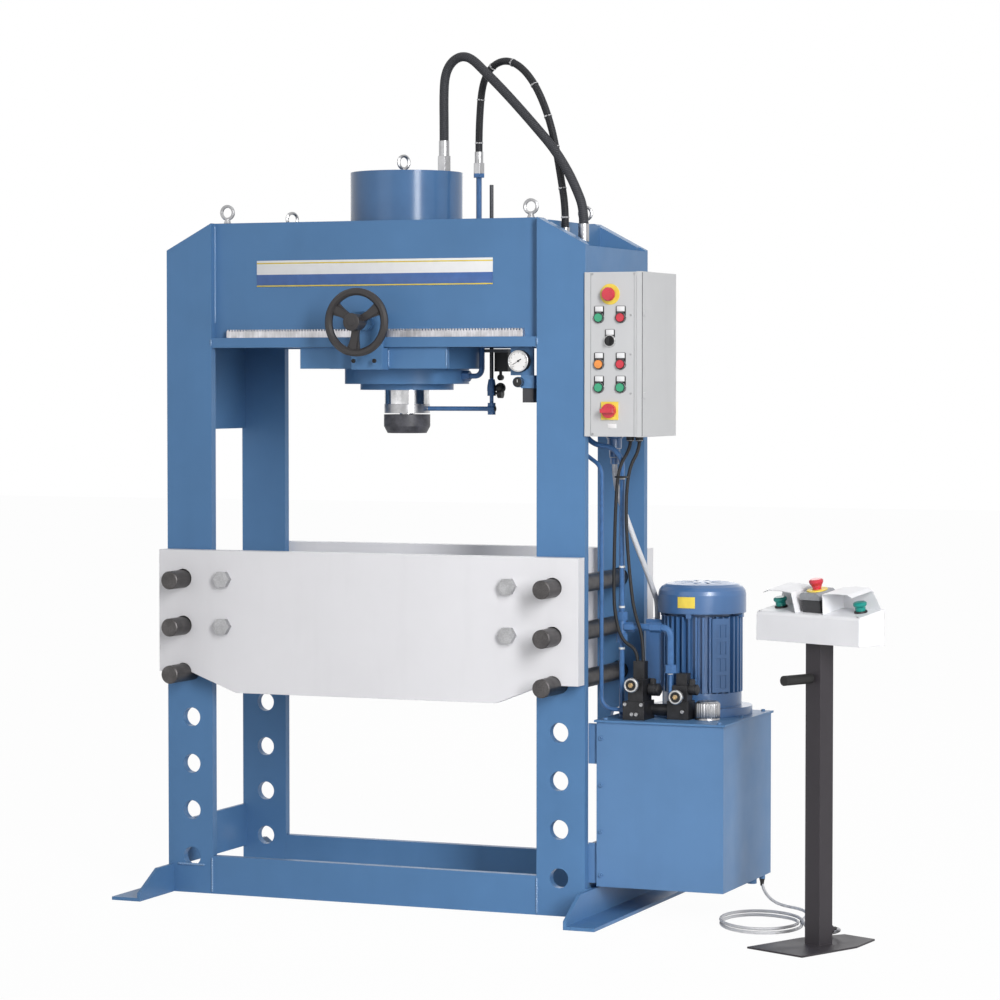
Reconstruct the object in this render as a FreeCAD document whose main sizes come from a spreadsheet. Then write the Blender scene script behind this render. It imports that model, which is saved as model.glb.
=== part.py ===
import FreeCAD, Part
import math
import os

import Sketcher
from FreeCAD import Placement, Rotation, Vector

# Motor-driven workshop press: a portal frame of thick plate, a cylinder that slides sideways
# under the crown, a pinned table, an oil tank with its motor, a control cabinet, and a
# two-hand control stand on a cable. Millimetres, +Z up. The origin is on the floor, in the
# middle of the front base beam; the front portal's plates are centred on Y = 0.

doc = FreeCAD.newDocument("HydraulicPress")
sheet = doc.addObject("Spreadsheet::Sheet", "Sizes")


# ---------------------------------------------------------------- lengths and their formulas

class Size:
    # a length of the press: its number now, and the formula that a feature is bound to
    def __init__(self, number, formula):
        self.number = float(number)
        self.formula = formula

    def __float__(self):
        return self.number

    def __add__(self, other):
        return joined(self, "+", other)

    def __radd__(self, other):
        return joined(other, "+", self)

    def __sub__(self, other):
        return joined(self, "-", other)

    def __rsub__(self, other):
        return joined(other, "-", self)

    def __mul__(self, other):
        return joined(self, "*", other)

    def __rmul__(self, other):
        return joined(other, "*", self)

    def __truediv__(self, other):
        return joined(self, "/", other)

    def __neg__(self):
        return joined(0.0, "-", self)


def formulaOf(length):
    if isinstance(length, Size):
        return length.formula
    return "(%.6f)" % float(length)


def joined(left, sign, right):
    a = float(left)
    b = float(right)
    results = {"+": a + b, "-": a - b, "*": a * b}
    number = a / b if sign == "/" else results[sign]
    return Size(number, "(%s %s %s)" % (formulaOf(left), sign, formulaOf(right)))


def size(name, number):
    row = len(sheetNames) + 1
    sheetNames.append(name)
    sheet.set("A%d" % row, name)
    sheet.set("B%d" % row, str(number))
    sheet.setAlias("B%d" % row, name)
    return Size(number, "Sizes." + name)


sheetNames = []

# portal frame
frameWidth = size("frameWidth", 1370)
uprightWidth = size("uprightWidth", 152)
portalPlate = size("portalPlate", 28)
portalSpacing = size("portalSpacing", 512)
frameHeight = size("frameHeight", 2051)
chamferDrop = size("chamferDrop", 81)
pinDiameter = size("pinDiameter", 55)
pinPlay = size("pinPlay", 3)
holePitch = size("holePitch", 143)
lowestHole = size("lowestHole", 112)
holeInset = size("holeInset", 81)
baseHeight = size("baseHeight", 116)
crownPlate = size("crownPlate", 30)
railTop = size("railTop", 1702)
railPlate = size("railPlate", 30)
railSetback = size("railSetback", 3)
railOverhang = size("railOverhang", 30)
crossPlate = size("crossPlate", 15)
crossInset = size("crossInset", 4)
sidePlate = size("sidePlate", 12)
sideUpperFoot = size("sideUpperFoot", 1420)
sideLowerFoot = size("sideLowerFoot", 75)
sideLowerTop = size("sideLowerTop", 210)
footReach = size("footReach", 222)
footFlange = size("footFlange", 96)
footWeb = size("footWeb", 86)
footPlate = size("footPlate", 10)
footNose = size("footNose", 25)
footInset = size("footInset", 9)
footPacking = size("footPacking", 17)

# rack and pinion of the carriage drive
gearModule = size("gearModule", 3)
rackBar = size("rackBar", 18)
rackSetback = size("rackSetback", 6)
rackRise = size("rackRise", 25)
rackEnd = size("rackEnd", 47)
pinionTeeth = 14
pinionFace = size("pinionFace", 16)
gearPlay = size("gearPlay", 0.35)

# press table
tablePlate = size("tablePlate", 50)
tablePlay = size("tablePlay", 5)
tableTop = size("tableTop", 1057)
tableFoot = size("tableFoot", 626)
tableEndFlat = size("tableEndFlat", 110)
tableChamfer = size("tableChamfer", 150)
tieInset = size("tieInset", 219)
tieBolt = size("tieBolt", 30)
tieTube = size("tieTube", 50)
tieHead = size("tieHead", 46)
tieHeadRise = size("tieHeadRise", 20)
pinProud = size("pinProud", 92)
pinTail = size("pinTail", 22)
seatPlay = size("seatPlay", 0.3)

# lifting eyes
eyeOuter = size("eyeOuter", 48)
eyeWire = size("eyeWire", 9)
eyeInset = size("eyeInset", 187)
eyeRise = size("eyeRise", 33)

# cylinder and carriage
barrelDiameter = size("barrelDiameter", 344)
barrelWall = size("barrelWall", 42)
barrelTop = size("barrelTop", 2206)
barrelCap = size("barrelCap", 40)
guideRing = size("guideRing", 404)
guideRingHeight = size("guideRingHeight", 22)
railGap = size("railGap", 0.3)
carriageDisc = size("carriageDisc", 476)
carriageFoot = size("carriageFoot", 1608)
apronWidth = size("apronWidth", 480)
apronPlate = size("apronPlate", 22)
glandFlange = size("glandFlange", 381)
glandFlangeHeight = size("glandFlangeHeight", 46)
glandRing = size("glandRing", 286)
glandRingHeight = size("glandRingHeight", 18)
rodDiameter = size("rodDiameter", 138)
slideFit = size("slideFit", 0.05)
rodStroke = size("rodStroke", 300)
rodShoulder = size("rodShoulder", 1501)
collarHeight = size("collarHeight", 28)
spigotDiameter = size("spigotDiameter", 100)
neckDiameter = size("neckDiameter", 46)
neckHeight = size("neckHeight", 4)
headDiameter = size("headDiameter", 142)
headHeight = size("headHeight", 57)
headFace = size("headFace", 120)
headTaper = size("headTaper", 21)

# handwheel and its bracket
bracketWidth = size("bracketWidth", 101)
bracketPlate = size("bracketPlate", 12)
bracketReach = size("bracketReach", 44)
bracketTop = size("bracketTop", 1778)
shaftDiameter = size("shaftDiameter", 20)
bearingBoss = size("bearingBoss", 46)
bearingLength = size("bearingLength", 30)
wheelDiameter = size("wheelDiameter", 203)
wheelRim = size("wheelRim", 22)
wheelStandOff = size("wheelStandOff", 60)
wheelHub = size("wheelHub", 50)
wheelHubLength = size("wheelHubLength", 50)

# stroke gear beside the cylinder
followerOffset = size("followerOffset", 280)
followerRod = size("followerRod", 12)
followerDrop = size("followerDrop", 42)
armDiameter = size("armDiameter", 14)
armDrop = size("armDrop", 14)
stopCollar = size("stopCollar", 26)
stopCollarHeight = size("stopCollarHeight", 33)
stopCollarRise = size("stopCollarRise", 25)
switchWidth = size("switchWidth", 44)
switchHeight = size("switchHeight", 58)
switchDepth = size("switchDepth", 40)

# gauge and pressure switch
gaugeDiameter = size("gaugeDiameter", 63)
gaugeDepth = size("gaugeDepth", 32)
gaugePlate = size("gaugePlate", 8)
gaugePlateWidth = size("gaugePlateWidth", 72)
gaugePlateHeight = size("gaugePlateHeight", 84)
gaugeInset = size("gaugeInset", 62)

# oil tank and power unit
tankOffset = size("tankOffset", 29)
tankLength = size("tankLength", 390)
tankDepth = size("tankDepth", 455)
tankSetback = size("tankSetback", 6)
tankFoot = size("tankFoot", 92)
tankTop = size("tankTop", 575)
tankWall = size("tankWall", 3)
lidPlate = size("lidPlate", 6)
lidOverhang = size("lidOverhang", 6)
motorInset = size("motorInset", 220)
motorSetback = size("motorSetback", 310)
motorFlange = size("motorFlange", 300)
motorFlangeHeight = size("motorFlangeHeight", 26)
motorShield = size("motorShield", 236)
motorShieldHeight = size("motorShieldHeight", 42)
motorBody = size("motorBody", 206)
motorFin = size("motorFin", 242)
motorFinHeight = size("motorFinHeight", 226)
motorBore = size("motorBore", 150)
motorShaft = size("motorShaft", 38)
coverDiameter = size("coverDiameter", 262)
coverLift = size("coverLift", 9)
coverHeight = size("coverHeight", 89)
coverShoulder = size("coverShoulder", 34)
coverFace = size("coverFace", 168)
coverWall = size("coverWall", 2.5)
finCount = 36
rotorLength = size("rotorLength", 160)
fanDiameter = size("fanDiameter", 200)
pumpDiameter = size("pumpDiameter", 130)
pumpLength = size("pumpLength", 120)
suctionLength = size("suctionLength", 190)
strainerDiameter = size("strainerDiameter", 90)
manifoldWidth = size("manifoldWidth", 66)
manifoldDepth = size("manifoldDepth", 90)
manifoldHeight = size("manifoldHeight", 54)
valveKnob = size("valveKnob", 42)
capDiameter = size("capDiameter", 74)
capHeight = size("capHeight", 56)
riserPipe = size("riserPipe", 15)
branchPipe = size("branchPipe", 21)
pilotPipe = size("pilotPipe", 12)
cylinderPipe = size("cylinderPipe", 16)

# control cabinet
cabinetWidth = size("cabinetWidth", 160)
cabinetDepth = size("cabinetDepth", 321)
cabinetHeight = size("cabinetHeight", 477)
cabinetFoot = size("cabinetFoot", 1410)
cabinetProud = size("cabinetProud", 6)
cabinetWall = size("cabinetWall", 2)
doorDepth = size("doorDepth", 17)
doorLength = size("doorLength", 300)
doorGap = size("doorGap", 0.6)
breakerHeight = size("breakerHeight", 70)
breakerDrop = size("breakerDrop", 41)
contactorHeight = size("contactorHeight", 82)
contactorGap = size("contactorGap", 34)
gearDepth = size("gearDepth", 70)
buttonDiameter = size("buttonDiameter", 24)
buttonTravel = size("buttonTravel", 4)
buttonPlay = size("buttonPlay", 0.4)
bezelRise = size("bezelRise", 7)
bezelWall = size("bezelWall", 3)
buttonPitchX = size("buttonPitchX", 67)
buttonPitchZ = size("buttonPitchZ", 67.5)
mushroomDiameter = size("mushroomDiameter", 40)
mushroomRise = size("mushroomRise", 24)
stopRing = size("stopRing", 60)
stopRingPlate = size("stopRingPlate", 2)
switchPlate = size("switchPlate", 52)
switchKnob = size("switchKnob", 42)

# control stand
standX = size("standX", 1454)
standY = size("standY", -207)
standTurn = -25.0
standPost = size("standPost", 54)
standPlate = size("standPlate", 5)
standPlateWidth = size("standPlateWidth", 204)
standPlateLength = size("standPlateLength", 356)
standPlateShift = size("standPlateShift", -4)
standHeight = size("standHeight", 846)
standWall = size("standWall", 3)
panelLength = size("panelLength", 378)
panelDepth = size("panelDepth", 106)
panelFront = size("panelFront", 80)
panelBack = size("panelBack", 100)
panelEdge = size("panelEdge", 8)
palmDiameter = size("palmDiameter", 38)
palmRise = size("palmRise", 28)
palmInset = size("palmInset", 42)
guardHeight = size("guardHeight", 58)
guardSheet = size("guardSheet", 2)
guardInset = size("guardInset", 50)
guardLean = size("guardLean", 7)
guardReach = size("guardReach", 106)
stopHousing = size("stopHousing", 72)
stopHousingHeight = size("stopHousingHeight", 57)
gripDiameter = size("gripDiameter", 28)
gripLength = size("gripLength", 120)
gripHeight = size("gripHeight", 748)

# cords
standCable = size("standCable", 9)
hoseWide = size("hoseWide", 28)
hoseSlim = size("hoseSlim", 22)
conduitDiameter = size("conduitDiameter", 16)
leadDiameter = size("leadDiameter", 10)

doc.recompute()

# places that several pieces share
pressX = Size(0, "(0)")
pressY = portalSpacing / 2
halfFrame = frameWidth / 2
portalFace = portalPlate / 2
innerEdge = halfFrame - uprightWidth
crownBack = portalFace + crownPlate
railFoot = railTop - railPlate
railFront = railSetback - portalFace
railBack = crownBack + railOverhang
holeX = halfFrame - holeInset
holeRadius = (pinDiameter + pinPlay) / 2
pinHeights = [lowestHole + holePitch * k for k in (4, 5, 6)]
pinionPitch = gearModule * pinionTeeth / 2
axleHeight = railTop + rackRise - gearModule + pinionPitch
carriageTop = railFoot - railGap
apronFront = railFront + 12
headFoot = rodShoulder - collarHeight - neckHeight - headHeight
lidTop = tankTop + lidPlate
tankX = halfFrame + tankOffset
motorX = tankX + motorInset
motorY = tankSetback + motorSetback


# ---------------------------------------------------------------- features

def bind(thing, name, length):
    if isinstance(length, Size):
        thing.setExpression(name, length.formula)
    else:
        thing.setExpression(name, formulaOf(length))


turns = {
    "z": Rotation(),
    "-z": Rotation(Vector(1, 0, 0), 180),
    "x": Rotation(Vector(0, 1, 0), 90),
    "-x": Rotation(Vector(0, 1, 0), -90),
    "y": Rotation(Vector(1, 0, 0), -90),
    "-y": Rotation(Vector(1, 0, 0), 90),
}


def place(thing, x, y, z, turn=None):
    start = Vector(float(x), float(y), float(z))
    thing.Placement = Placement(start, turn if turn is not None else Rotation())
    bind(thing, "Placement.Base.x", x)
    bind(thing, "Placement.Base.y", y)
    bind(thing, "Placement.Base.z", z)
    return thing


def block(x, y, z, length, width, height, turn=None):
    thing = doc.addObject("Part::Box", "Block")
    bind(thing, "Length", length)
    bind(thing, "Width", width)
    bind(thing, "Height", height)
    return place(thing, x, y, z, turn)


def bar(diameter, x, y, z, length, axis="z"):
    thing = doc.addObject("Part::Cylinder", "Bar")
    bind(thing, "Radius", diameter / 2)
    bind(thing, "Height", length)
    return place(thing, x, y, z, turns[axis])


def cone(diameter1, diameter2, x, y, z, length, axis="z"):
    thing = doc.addObject("Part::Cone", "Cone")
    bind(thing, "Radius1", diameter1 / 2)
    bind(thing, "Radius2", diameter2 / 2)
    bind(thing, "Height", length)
    return place(thing, x, y, z, turns[axis])


def hexagon(acrossFlats, x, y, z, length, axis="z"):
    thing = doc.addObject("Part::Prism", "Hexagon")
    thing.Polygon = 6
    bind(thing, "Circumradius", acrossFlats / math.sqrt(3))
    bind(thing, "Height", length)
    return place(thing, x, y, z, turns[axis])


def fuse(*pieces):
    thing = doc.addObject("Part::MultiFuse", "Fusion")
    thing.Shapes = list(pieces)
    return thing


def cut(base, *tools):
    thing = doc.addObject("Part::Cut", "Cut")
    thing.Base = base
    thing.Tool = tools[0] if len(tools) == 1 else fuse(*tools)
    return thing


def group(*pieces):
    thing = doc.addObject("Part::Compound", "Group")
    thing.Links = list(pieces)
    return thing


def formed(shape):
    thing = doc.addObject("Part::Feature", "Formed")
    thing.Shape = shape
    return thing


def outline(body, plane, points, circles=()):
    # a closed outline through the points, and round holes as (x, z, diameter)
    sketch = body.newObject("Sketcher::SketchObject", "Outline")
    support = [one for one in body.Origin.OriginFeatures if one.Role == plane][0]
    sketch.AttachmentSupport = (support, [""])
    sketch.MapMode = "FlatFace"
    corners = [Vector(float(u), float(v), 0) for u, v in points]
    for k, corner in enumerate(corners):
        follow = corners[(k + 1) % len(corners)]
        sketch.addGeometry(Part.LineSegment(corner, follow), False)
    for k in range(len(corners)):
        follow = (k + 1) % len(corners)
        sketch.addConstraint(Sketcher.Constraint("Coincident", k, 2, follow, 1))
    for k, point in enumerate(points):
        pin(sketch, k, 1, point)
    for u, v, diameter in circles:
        centre = Vector(float(u), float(v), 0)
        k = sketch.addGeometry(Part.Circle(centre, Vector(0, 0, 1), float(diameter) / 2), False)
        rule = sketch.addConstraint(Sketcher.Constraint("Diameter", k, float(diameter)))
        bind(sketch, "Constraints[%d]" % rule, diameter)
        pin(sketch, k, 3, (u, v))
    return sketch


def pin(sketch, geometry, end, point):
    for kind, length in zip(("DistanceX", "DistanceY"), point):
        ends = (-1, 1, geometry, end)
        if float(length) < 0:
            ends = (geometry, end, -1, 1)
            length = 0 - length
        rule = sketch.addConstraint(Sketcher.Constraint(kind, *ends, float(length)))
        bind(sketch, "Constraints[%d]" % rule, length)


def plate(points, thickness, plane="XZ_Plane", circles=()):
    # a plate of the outline, its thickness shared to both sides of the plane
    body = doc.addObject("PartDesign::Body", "Plate")
    sketch = outline(body, plane, points, circles)
    pad = body.newObject("PartDesign::Pad", "Pad")
    pad.Profile = sketch
    pad.Midplane = True
    bind(pad, "Length", thickness)
    body.Tip = pad
    return body


def turned(points):
    # a turned piece: the outline of radius and height goes round the Z axis
    body = doc.addObject("PartDesign::Body", "Turned")
    sketch = outline(body, "XZ_Plane", points)
    spin = body.newObject("PartDesign::Revolution", "Revolution")
    spin.Profile = sketch
    spin.ReferenceAxis = (sketch, ["V_Axis"])
    spin.Angle = 360
    body.Tip = spin
    return body


def tube(outer, inner, x, y, z, length, axis="z"):
    profile = [(inner / 2, 0), (outer / 2, 0), (outer / 2, length), (inner / 2, length)]
    return place(turned(profile), x, y, z, turns[axis])


nodes = []


def node(name, thing):
    thing.Label = name
    nodes.append(thing)
    return thing


# ---------------------------------------------------------------- cords and pipes

def route(points, diameter, bend=None):
    # straight runs and the tangent arcs between them; returns the wire and its radii
    corners = [Vector(*[float(c) for c in point]) for point in points]
    edges = []
    radii = []
    start = corners[0]
    for k in range(1, len(corners) - 1):
        before = corners[k] - corners[k - 1]
        after = corners[k + 1] - corners[k]
        half = before.getAngle(after) / 2
        radius = 0.45 * min(before.Length, after.Length) / math.tan(half)
        if bend is not None:
            radius = min(radius, float(bend))
        reach = radius * math.tan(half)
        radii.append(radius)
        into = Vector(before).normalize()
        out = Vector(after).normalize()
        first = corners[k] - into * reach
        last = corners[k] + out * reach
        towards = (out - into).normalize()
        middle = corners[k] + towards * (radius / math.cos(half) - radius)
        edges.append(Part.LineSegment(start, first).toShape())
        edges.append(Part.Arc(first, middle, last).toShape())
        start = last
    edges.append(Part.LineSegment(start, corners[-1]).toShape())
    return Part.Wire(edges), radii


def faceted(centre, along, diameter, sides):
    # a regular section across the route, its flats as far out as the round's mean
    across = Vector(0, 0, 1) if abs(along.z) < 0.9 else Vector(1, 0, 0)
    u = along.cross(across).normalize()
    v = along.cross(u).normalize()
    radius = float(diameter) / 2 * math.sqrt(math.tau / (sides * math.sin(math.tau / sides)))
    ring = []
    for k in range(sides + 1):
        angle = math.tau * (k % sides + 0.5) / sides
        ring.append(centre + u * (radius * math.cos(angle)) + v * (radius * math.sin(angle)))
    return Part.makePolygon(ring)


def cord(name, points, diameter, sides=8, bend=None):
    path, radii = route(points, diameter, bend)
    start = Vector(*[float(c) for c in points[0]])
    along = (Vector(*[float(c) for c in points[1]]) - start).normalize()
    solid = path.makePipeShell([faceted(start, along, diameter, sides)], True, False)
    if solid.ShapeType != "Solid":
        solid = Part.Solid(solid.Shells[0])
    if solid.Volume < 0:
        solid = solid.reversed()
    expected = math.pi * float(diameter) ** 2 / 4 * path.Length
    print("%s length %.0f mm, least radius %.0f mm (%.1f diameters), volume ratio %.3f" % (
        name, path.Length, min(radii), min(radii) / float(diameter), solid.Volume / expected))
    return formed(solid)


# ---------------------------------------------------------------- portal frame

def upright(side, portal):
    # a flat upright with its row of pin holes; the outer top corner slants to the crown
    outer = halfFrame * side
    inner = innerEdge * side
    points = [(inner, 0), (outer, 0), (outer, frameHeight - chamferDrop), (inner, frameHeight)]
    holes = [(holeX * side, lowestHole + holePitch * k, holeRadius * 2) for k in range(7)]
    return place(plate(points, portalPlate, circles=holes), 0, portalSpacing * portal, 0)


node("uprights", group(*[upright(side, portal) for portal in (0, 1) for side in (-1, 1)]))


def crownSide(portal):
    # the deep crown plate laps the uprights on the inside, with the same slanted corners
    towards = 1 - 2 * portal
    reach = halfFrame - sidePlate - crossInset
    slant = chamferDrop / uprightWidth
    low = frameHeight - slant * (reach - innerEdge)
    points = [(-reach, railTop), (reach, railTop), (reach, low), (innerEdge, frameHeight),
              (-innerEdge, frameHeight), (-reach, low)]
    middle = portalSpacing * portal + (portalFace + crownPlate / 2) * towards
    return place(plate(points, crownPlate), 0, middle, 0)


def crossWall(side):
    low = (innerEdge + crossInset) * side
    start = low if side > 0 else low - crossPlate
    run = portalSpacing - crownBack * 2
    return block(start, crownBack, railTop, crossPlate, run, frameHeight - railTop - 6)


node("crown_plates", group(crownSide(0), crownSide(1), crossWall(-1), crossWall(1)))


def rail(portal):
    # the ledge under each crown plate: the rack lies on its front, the cylinder hangs behind
    low = railFront if portal == 0 else portalSpacing - railBack
    return block(-innerEdge, low, railFoot, innerEdge * 2, railBack - railFront, railPlate)


node("carriage_rails", group(rail(0), rail(1)))


def baseBeam(portal):
    low = portalSpacing * portal - portalFace
    return block(-innerEdge, low, 0, innerEdge * 2, portalPlate, baseHeight)


node("base_beams", group(baseBeam(0), baseBeam(1)))


def sideWall(side, foot, top):
    start = halfFrame - sidePlate if side > 0 else -halfFrame
    run = portalSpacing - portalPlate
    return block(start, portalFace, foot, sidePlate, run, top - foot)


sideTop = frameHeight - chamferDrop - 4
node("side_plates", group(*[
    sideWall(side, foot, top) for side in (-1, 1)
    for foot, top in ((sideUpperFoot, sideTop), (sideLowerFoot, sideLowerTop))]))


def footWebs(low):
    # standing legs before the front portal and behind the rear one, tapered to their ends
    back = portalSpacing + portalFace
    flat = footReach * 0.48
    front = [(-portalFace, 0), (-portalFace, footWeb), (-portalFace - flat, footWeb),
             (-portalFace - footReach, footNose), (-portalFace - footReach, 0)]
    rear = [(back, 0), (back, footWeb), (back + flat, footWeb),
            (back + footReach, footNose), (back + footReach, 0)]
    middle = low + footPlate / 2
    return [place(plate(points, footPlate, "YZ_Plane"), middle, 0, 0) for points in (front, rear)]


def leftFoot():
    # angle iron whose standing leg butts against both portals, flush inside their outer edge
    high = -halfFrame + footInset + footPlate
    start = high - footFlange
    run = portalSpacing + portalPlate + footReach * 2
    sole = block(start, -portalFace - footReach, 0, -halfFrame - start, run, footPlate)
    ends = [block(-halfFrame, y, 0, footInset + footPlate, footReach, footPlate)
            for y in (-portalFace - footReach, portalSpacing + portalFace)]
    return fuse(sole, *ends, *footWebs(high - footPlate))


def rightFoot():
    # angle iron outside the column, stood off it by a packing plate at each portal
    start = halfFrame + footPacking
    run = portalSpacing + portalPlate + footReach * 2
    sole = block(start, -portalFace - footReach, 0, footFlange, run, footPlate)
    between = block(start, -portalFace, 0, footPlate, portalSpacing + portalPlate, footWeb)
    packing = [block(halfFrame, y, 0, footPacking, portalPlate, footWeb)
               for y in (-portalFace, portalSpacing - portalFace)]
    return fuse(sole, between, *packing, *footWebs(start))


node("foot_angles", group(leftFoot(), rightFoot()))


# ---------------------------------------------------------------- rack and pinion

# whole teeth in the clear width, an odd number so that one stands in the middle
rackTeeth = int(float(innerEdge - rackEnd) * 2 / (math.pi * float(gearModule)))
rackTeeth -= 1 - rackTeeth % 2


def rackOutline():
    # straight-sided teeth at 20 degrees, a tooth in the middle of the bar
    module = float(gearModule)
    pitch = math.pi * module
    lean = math.tan(math.radians(20))
    top = float(rackRise)
    root = top - 2.25 * module
    half = pitch / 4
    crest = half - module * lean
    foot = half + 1.25 * module * lean
    start = -rackTeeth * pitch / 2
    points = [Vector(start, 0, 0)]
    for k in range(rackTeeth):
        middle = start + (k + 0.5) * pitch
        points += [Vector(middle - foot, 0, root), Vector(middle - crest, 0, top),
                   Vector(middle + crest, 0, top), Vector(middle + foot, 0, root)]
    points[1] = Vector(start, 0, root)
    points[-1] = Vector(-start, 0, root)
    points.append(Vector(-start, 0, 0))
    return points + [points[0]]


rackFront = railFront + rackSetback
rack = formed(Part.Face(Part.makePolygon(rackOutline())).extrude(Vector(0, float(rackBar), 0)))
node("rack", place(rack, 0, rackFront, railTop))


def pinionOutline():
    # involute flanks from the base circle, with a tooth gap straight down at rest
    module = float(gearModule)
    pitchRadius = module * pinionTeeth / 2
    baseRadius = pitchRadius * math.cos(math.radians(20))
    tip = pitchRadius + 0.85 * module
    root = pitchRadius - 1.25 * module
    halfTooth = (math.pi * module / 2 - float(gearPlay)) / 2 / pitchRadius
    spread = math.tan(math.radians(20)) - math.radians(20)
    points = []
    for k in range(pinionTeeth):
        middle = -math.pi / 2 + math.tau * (k + 0.5) / pinionTeeth
        flank = []
        for radius in (baseRadius, (baseRadius + tip) / 2, tip):
            bent = math.acos(baseRadius / radius)
            flank.append((radius, halfTooth + spread - (math.tan(bent) - bent)))
        sides = [(root, flank[0][1])] + flank
        for radius, angle in sides:
            points.append((radius, middle - angle))
        for radius, angle in reversed(sides):
            points.append((radius, middle + angle))
    ring = [Vector(r * math.cos(a), 0, r * math.sin(a)) for r, a in points]
    return ring + [ring[0]]


wheelBack = apronFront - bracketReach - wheelStandOff
pinionStart = rackFront + (rackBar - pinionFace) / 2
pinion = formed(Part.Face(Part.makePolygon(pinionOutline())).extrude(
    Vector(0, float(pinionFace), 0)))
place(pinion, pressX, pinionStart, axleHeight)
shaftEnd = wheelBack - wheelHubLength + 6
shaft = bar(shaftDiameter, pressX, shaftEnd, axleHeight, pinionStart + 2 - shaftEnd, "y")
node("pinion_shaft", fuse(pinion, shaft))


# ---------------------------------------------------------------- press table

def tableSide(portal):
    # a deep plate with a raised foot at each end, which sits over the third pins
    half = frameWidth / 2
    flat = half - tableEndFlat
    deep = flat - tableChamfer
    seat = pinHeights[0]
    points = [(-deep, tableFoot), (deep, tableFoot), (flat, seat), (half, seat),
              (half, tableTop), (-half, tableTop), (-half, seat), (-flat, seat)]
    holes = [(holeX * side, height, holeRadius * 2) for side in (-1, 1)
             for height in pinHeights[1:]]
    holes += [((halfFrame - tieInset) * side, height, tieBolt + 1) for side in (-1, 1)
              for height in pinHeights[1:]]
    offset = portalFace + tablePlay + tablePlate / 2
    middle = -offset if portal == 0 else portalSpacing + offset
    side = place(plate(points, tablePlate, circles=holes), 0, middle, 0)
    low = middle - tablePlate / 2 - 1
    seats = [bar(pinDiameter + seatPlay * 2, holeX * s, low, seat, tablePlate + 2, "y")
             for s in (-1, 1)]
    return cut(side, *seats)


node("table_plates", group(tableSide(0), tableSide(1)))

tableFace = portalFace + tablePlay + tablePlate
tieSpan = portalSpacing + (portalFace + tablePlay) * 2
tieX = halfFrame - tieInset


def tie(side, height):
    # a bolt with its spacer tube between the table plates, and a head at each face
    x = tieX * side
    spacer = bar(tieTube, x, -portalFace - tablePlay, height, tieSpan, "y")
    bolt = bar(tieBolt, x, -tableFace, height, portalSpacing + tableFace * 2, "y")
    front = hexagon(tieHead, x, -tableFace - tieHeadRise, height, tieHeadRise, "y")
    back = hexagon(tieHead, x, portalSpacing + tableFace, height, tieHeadRise, "y")
    return fuse(spacer, bolt, front, back)


node("table_tie_bolts", group(*[tie(side, height) for side in (-1, 1)
                                for height in pinHeights[1:]]))


def tablePin(side, height):
    # a plain round pin through table plate, both uprights and table plate
    rest = height - pinPlay / 2
    length = portalSpacing + tableFace * 2 + pinProud + pinTail
    low = -tableFace - pinProud
    nose = cone(pinDiameter - 6, pinDiameter, holeX * side, low, rest, 3, "y")
    tail = cone(pinDiameter, pinDiameter - 6, holeX * side, low + length - 3, rest, 3, "y")
    shank = bar(pinDiameter, holeX * side, low + 3, rest, length - 6, "y")
    return fuse(nose, shank, tail)


node("table_pins", group(*[tablePin(side, height) for side in (-1, 1)
                           for height in pinHeights]))


# ---------------------------------------------------------------- lifting eyes

def eyeBolt(x, y, z, angle=0):
    # a forged ring of six-sided wire standing on its collar
    rim = eyeOuter / 2 - eyeWire / 2
    r = eyeWire / 2
    wire = [(rim - r, -r / 2), (rim, -r), (rim + r, -r / 2), (rim + r, r / 2), (rim, r),
            (rim - r, r / 2)]
    facing = Rotation(Vector(0, 0, 1), angle).multiply(turns["y"])
    ring = place(turned(wire), x, y, z + eyeRise, facing)
    collar = cone(eyeWire * 2.6, eyeWire * 1.6, x, y, z, eyeRise - rim)
    return fuse(ring, collar)


eyeX = halfFrame - eyeInset
eyeY = portalFace + crownPlate / 2
node("lifting_eyes", group(*[
    eyeBolt(eyeX * side, y, frameHeight, angle) for side, y, angle in (
        (-1, eyeY, 0), (-1, portalSpacing - eyeY, 60), (1, eyeY, 0),
        (1, portalSpacing - eyeY, 0))]))


# ---------------------------------------------------------------- cylinder and its carriage

boreRadius = barrelDiameter / 2 - barrelWall
ringFoot = railTop + railGap
ringTop = ringFoot + guideRingHeight
barrelRadius = barrelDiameter / 2
barrel = place(turned([
    (boreRadius, carriageFoot), (barrelRadius, carriageFoot), (barrelRadius, ringFoot),
    (guideRing / 2, ringFoot), (guideRing / 2, ringTop), (barrelRadius, ringTop),
    (barrelRadius, barrelTop), (0, barrelTop), (0, barrelTop - barrelCap),
    (boreRadius, barrelTop - barrelCap)]), pressX, pressY, 0)
node("cylinder_barrel", fuse(barrel, eyeBolt(pressX - 10, pressY, barrelTop, 60)))

discHeight = carriageTop - carriageFoot
disc = tube(carriageDisc, barrelDiameter, pressX, pressY, carriageFoot, discHeight)
apronDepth = pressY - carriageDisc / 2 + 6 - apronFront
apron = block(pressX - apronWidth / 2, apronFront, carriageFoot, apronWidth, apronPlate,
              discHeight)
web = block(pressX - apronWidth / 4, apronFront + apronPlate, carriageFoot, apronWidth / 2,
            apronDepth + 8, discHeight)
core = bar(barrelDiameter, pressX, pressY, carriageFoot - 1, discHeight + 2)
node("carriage_plate", cut(fuse(disc, apron, web), core))

glandFoot = carriageFoot - glandFlangeHeight
ringBottom = glandFoot - glandRingHeight
glandBore = rodDiameter / 2 + slideFit
node("cylinder_gland", place(turned([
    (glandBore, ringBottom), (glandRing / 2, ringBottom), (glandRing / 2, glandFoot),
    (glandFlange / 2, glandFoot), (glandFlange / 2, carriageFoot), (glandBore, carriageFoot)]),
    pressX, pressY, 0))

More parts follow.
